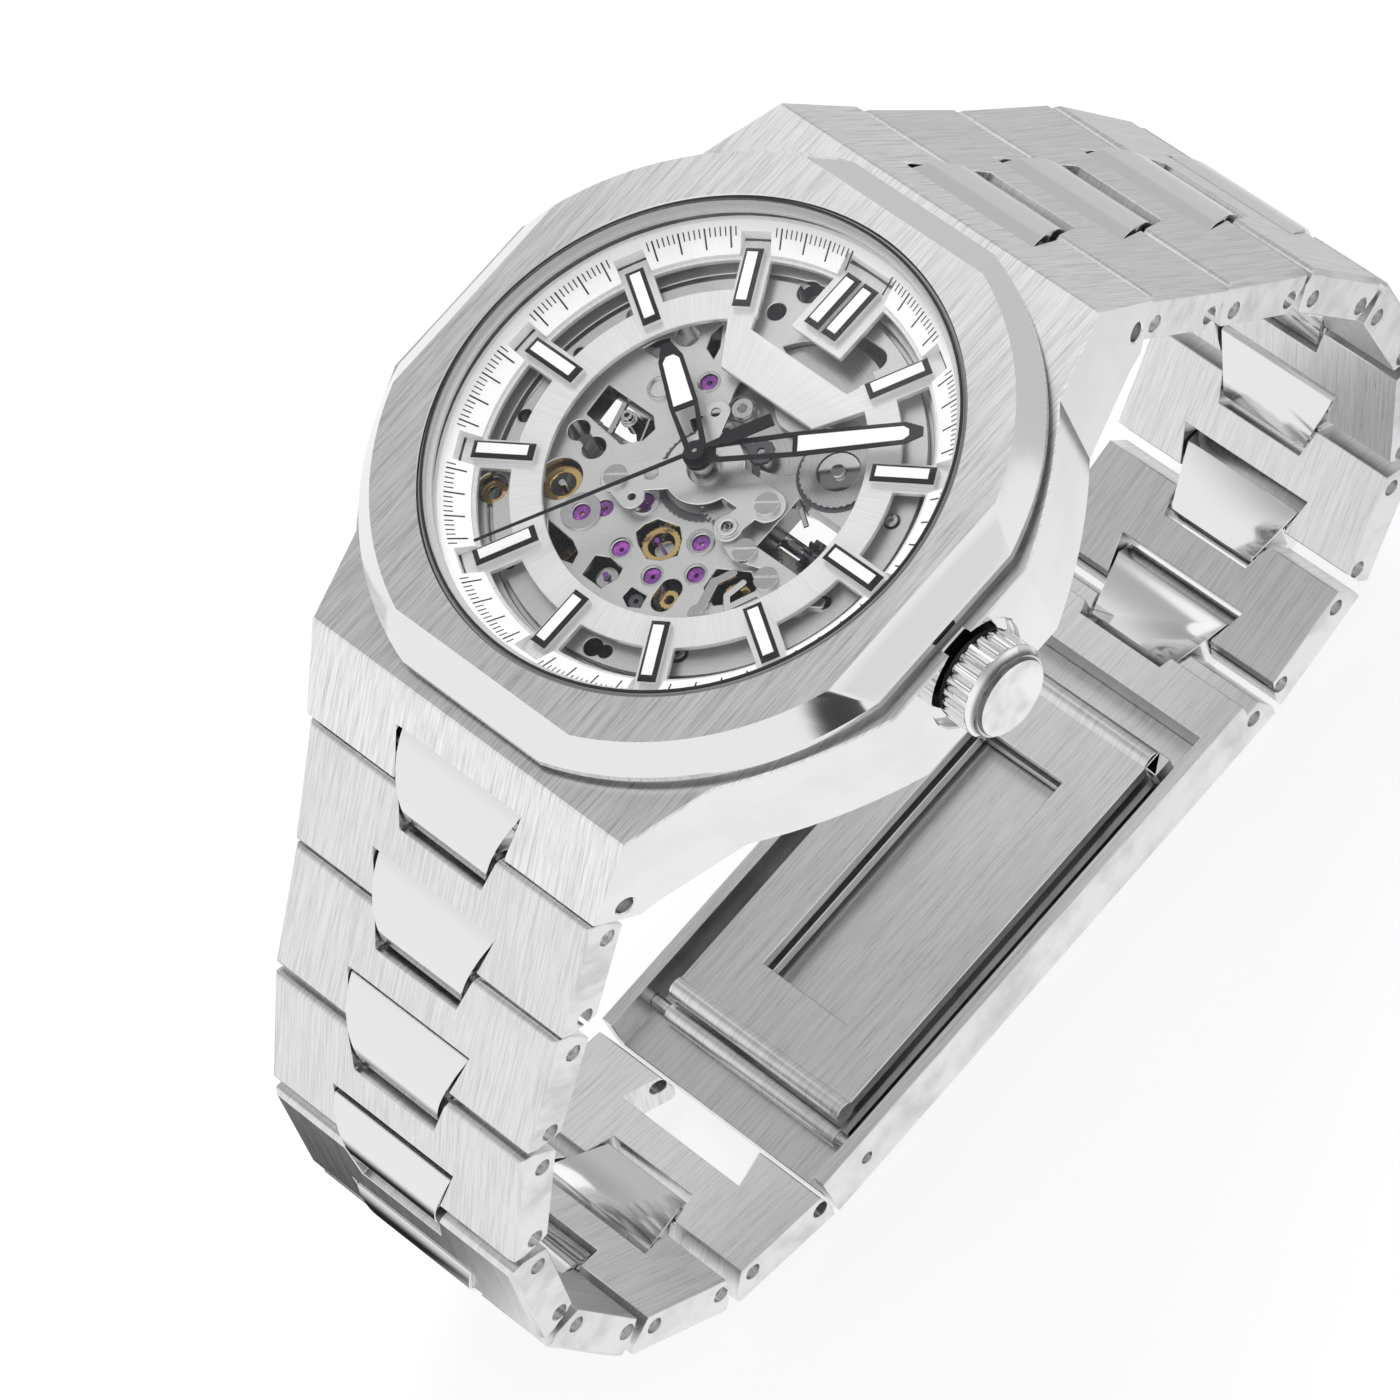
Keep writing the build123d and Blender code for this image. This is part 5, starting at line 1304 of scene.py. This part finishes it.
PLATE_STONES = ((-4.3, 4.6), (1.75, -6.85), (-1.1, -6.6), (3.9, -5.3))
TURNED = (
    Turned("setting_wheel", STEEL_WHEEL, (6.6, 4.5, 7.09), 2.40, 0.20, hole=1.35, teeth=36),
    Turned("setting_wheel_dish", SCREW, (6.6, 4.5, 7.07), 1.30, 0.10, hole=0.45),
    Turned("setting_wheel_screw", SCREW, (6.6, 4.5, 7.08), 0.42, 0.36),
    # painted shadow: a dark ring under the setting wheel's rim; painted shade: a dark toothed ring around
    # the hub and a dark ring in a recess of the plate
    Turned("setting_wheel_shadow", DARK_STEEL_AND_SHADE, (6.6, 4.5, 7.055), 2.62, 0.03, hole=2.25),
    Turned("hub_rack", DARK_STEEL_AND_SHADE, (0.0, 0.0, 7.055), 3.15, 0.10, hole=2.66, teeth=52),
    Turned("recess_ring", DARK_STEEL_AND_SHADE, (-1.3, 4.4, 7.055), 0.95, 0.04, hole=0.80),
    Turned("recess_disc", SCREW, (-1.3, 4.4, 7.055), 0.66, 0.07, hole=0.30),
    Turned("intermediate_wheel", DARK_STEEL_AND_SHADE, (1.75, 2.85, 7.08), 0.85, 0.22, hole=0.25, teeth=14),
    Turned("upper_wheel", DARK_STEEL_AND_SHADE, (-2.55, 2.55, 6.30), 0.80, 0.22, hole=0.30, teeth=13),
    Turned("post_tube", SCREW, (-6.9, 0.1, 5.50), 0.36, 1.75, hole=0.16),
    Turned("post_collar", SCREW, (-6.9, 0.1, 6.60), 0.52, 0.16, hole=0.37),
    Turned("window_gilt_wheel", GILT, (0.45, -4.9, 6.35), 1.20, 0.16, hole=0.82, teeth=24),
    Turned("window_staff", RUBY, (0.20, -4.9, 5.60), 0.17, 1.20),
    Turned("window_disc", SCREW, (0.45, -4.9, 5.70), 0.62, 0.16),
    Turned("left_gilt_wheel", GILT, (-7.5, -5.3, 6.20), 1.25, 0.16, hole=0.80, teeth=26),
    Turned("left_staff", SCREW, (-7.5, -5.3, 5.60), 0.22, 1.00),
    Turned("staff_disc", SCREW, (-1.0, -8.3, 6.00), 0.70, 0.16, hole=0.22),
    Turned("staff_stone", RUBY, (-1.0, -8.3, 5.80), 0.18, 0.80),
    Turned("slot_gilt_wheel", GILT, (3.35, -7.3, 6.30), 0.64, 0.16, hole=0.30, teeth=14),
    Turned("outer_gilt_wheel", GILT, (-10.6, -8.1, 6.30), 0.85, 0.16, hole=0.45, teeth=18),
    Turned("tooth_wheel", DARK_STEEL_AND_SHADE, (1.85, -8.55, 6.45), 0.50, 0.20, hole=0.15, teeth=11),
    Turned("lever_gilt_wheel", GILT, (6.3, -4.7, 5.80), 0.85, 0.16, hole=0.40, teeth=18),
    Turned("far_post", SCREW, (11.4, 3.9, 6.30), 0.40, 0.95, hole=0.16),
    Turned("near_post", SCREW, (6.6, -9.7, 6.30), 0.46, 0.95, hole=0.18),
    *(
        Turned(f"stone_rim_{number}", SCREW, (*place, 7.05), 0.72, 0.05, hole=0.56)
        for number, place in enumerate(PLATE_STONES, 1)
    ),
)
LEVERS = (
    Lever("click_lever", (-8.1, 0.9, 6.2), (-7.5, -1.2, 6.2), 0.40),
    Lever("click_spring", (-6.0, 0.9, 6.3), (-5.3, -0.8, 6.3), 0.18),
    Lever("click_spring_foot", (-5.3, -0.8, 6.3), (-6.3, -1.2, 6.3), 0.18),
    Lever("stem_lever", (5.9, 1.6, 6.4), (7.0, 0.9, 6.4), 0.35),
)


class Movement:
    """Plates, bridges, wheels and springs behind the dial."""

    LOOKS = (
        (BRIDGE, Edge.LIGHT, ("train_bridge", "barrel_bridge", "balance_cock", "pallet_bridge", "rotor")),
        (COVER, Edge.LIGHT, ("minute_bridge", "keyless_cover")),
        (SCREW, Edge.FINE, ("bridge_screws", "setting_lever", "yoke")),
        (SCREW, Edge.SHARP, ("escape_wheel", "pallet_fork", "cannon_pinion", "third_wheel")),
        (STEEL_WHEEL, Edge.SHARP, ("fourth_wheel", "minute_wheel", "hour_wheel")),
        (STEEL_WHEEL, Edge.SHARP, ("barrel", "ratchet_wheel")),
        (GILT, Edge.SHARP, ("balance_wheel", "center_wheel")),
        (RUBY, Edge.FINE, ("jewels",)),
        (BLUED, Edge.SHARP, ("mainspring", "hairspring")),
        (DARK_STEEL_AND_SHADE, Edge.SHARP, ("winding_pinion", "sliding_pinion")),
    )
    # these bridges get painted shade on their upper faces
    SHADE_PAINTED_TOPS = ("train_bridge", "barrel_bridge", "balance_cock")
    # these pieces get painted shade on their upright walls
    SHADE_PAINTED_WALLS = ("main_plate", "minute_bridge", "keyless_cover")

    def build(self) -> None:
        """Dresses every piece of the movement."""
        fit_up_parts("main_plate", Part("finished", PLATE, Edge.LIGHT), Part("settings", SCREW, Edge.FINE))
        for finish, edge, nodes in self.LOOKS:
            for node in nodes:
                fit_up(node, finish, edge)
        for node in self.SHADE_PAINTED_TOPS:
            two_tone(bpy.data.objects[node + "_finished"], PAINTED_SHADE_TOP, faces_up)
        for node in self.SHADE_PAINTED_WALLS:
            two_tone(bpy.data.objects[node + "_finished"], PAINTED_SHADE_WALL, is_wall)
        for detail in (*TURNED, *LEVERS):
            detail.build()


class Bracelet:
    """Links and clasp."""

    PER_SIDE = 7
    PLATE = Part("plate", BRUSHED_LINK, Edge.LIGHT)
    COVER = Part("finished", BRUSHED_LINK, Edge.LIGHT)
    CONNECTOR = Part("connector", POLISHED, Edge.LIGHT)
    PINS = Part("pins", POLISHED)

    def build(self) -> None:
        """Dresses each link and the clasp."""
        for side in ("six", "twelve"):
            for number in range(1, self.PER_SIDE + 1):
                fit_up_parts(f"link_{side}_{number}", self.PLATE, self.CONNECTOR, self.PINS)
        fit_up_parts("clasp_cover", self.COVER, self.CONNECTOR, self.PINS)
        for node in ("clasp_long_blade", "clasp_short_blade"):
            fit_up(node, BRUSHED_LINK, Edge.LIGHT)


def main() -> None:
    """Builds the studio and the watch."""
    logging.basicConfig(level=logging.INFO, format="%(name)s: %(message)s")
    Studio().build()
    for assembly in (Case(), Dial(), Hands(), Crown(), Movement(), Bracelet()):
        assembly.build()
    clear_selection()


if __name__ == "__main__":
    main()
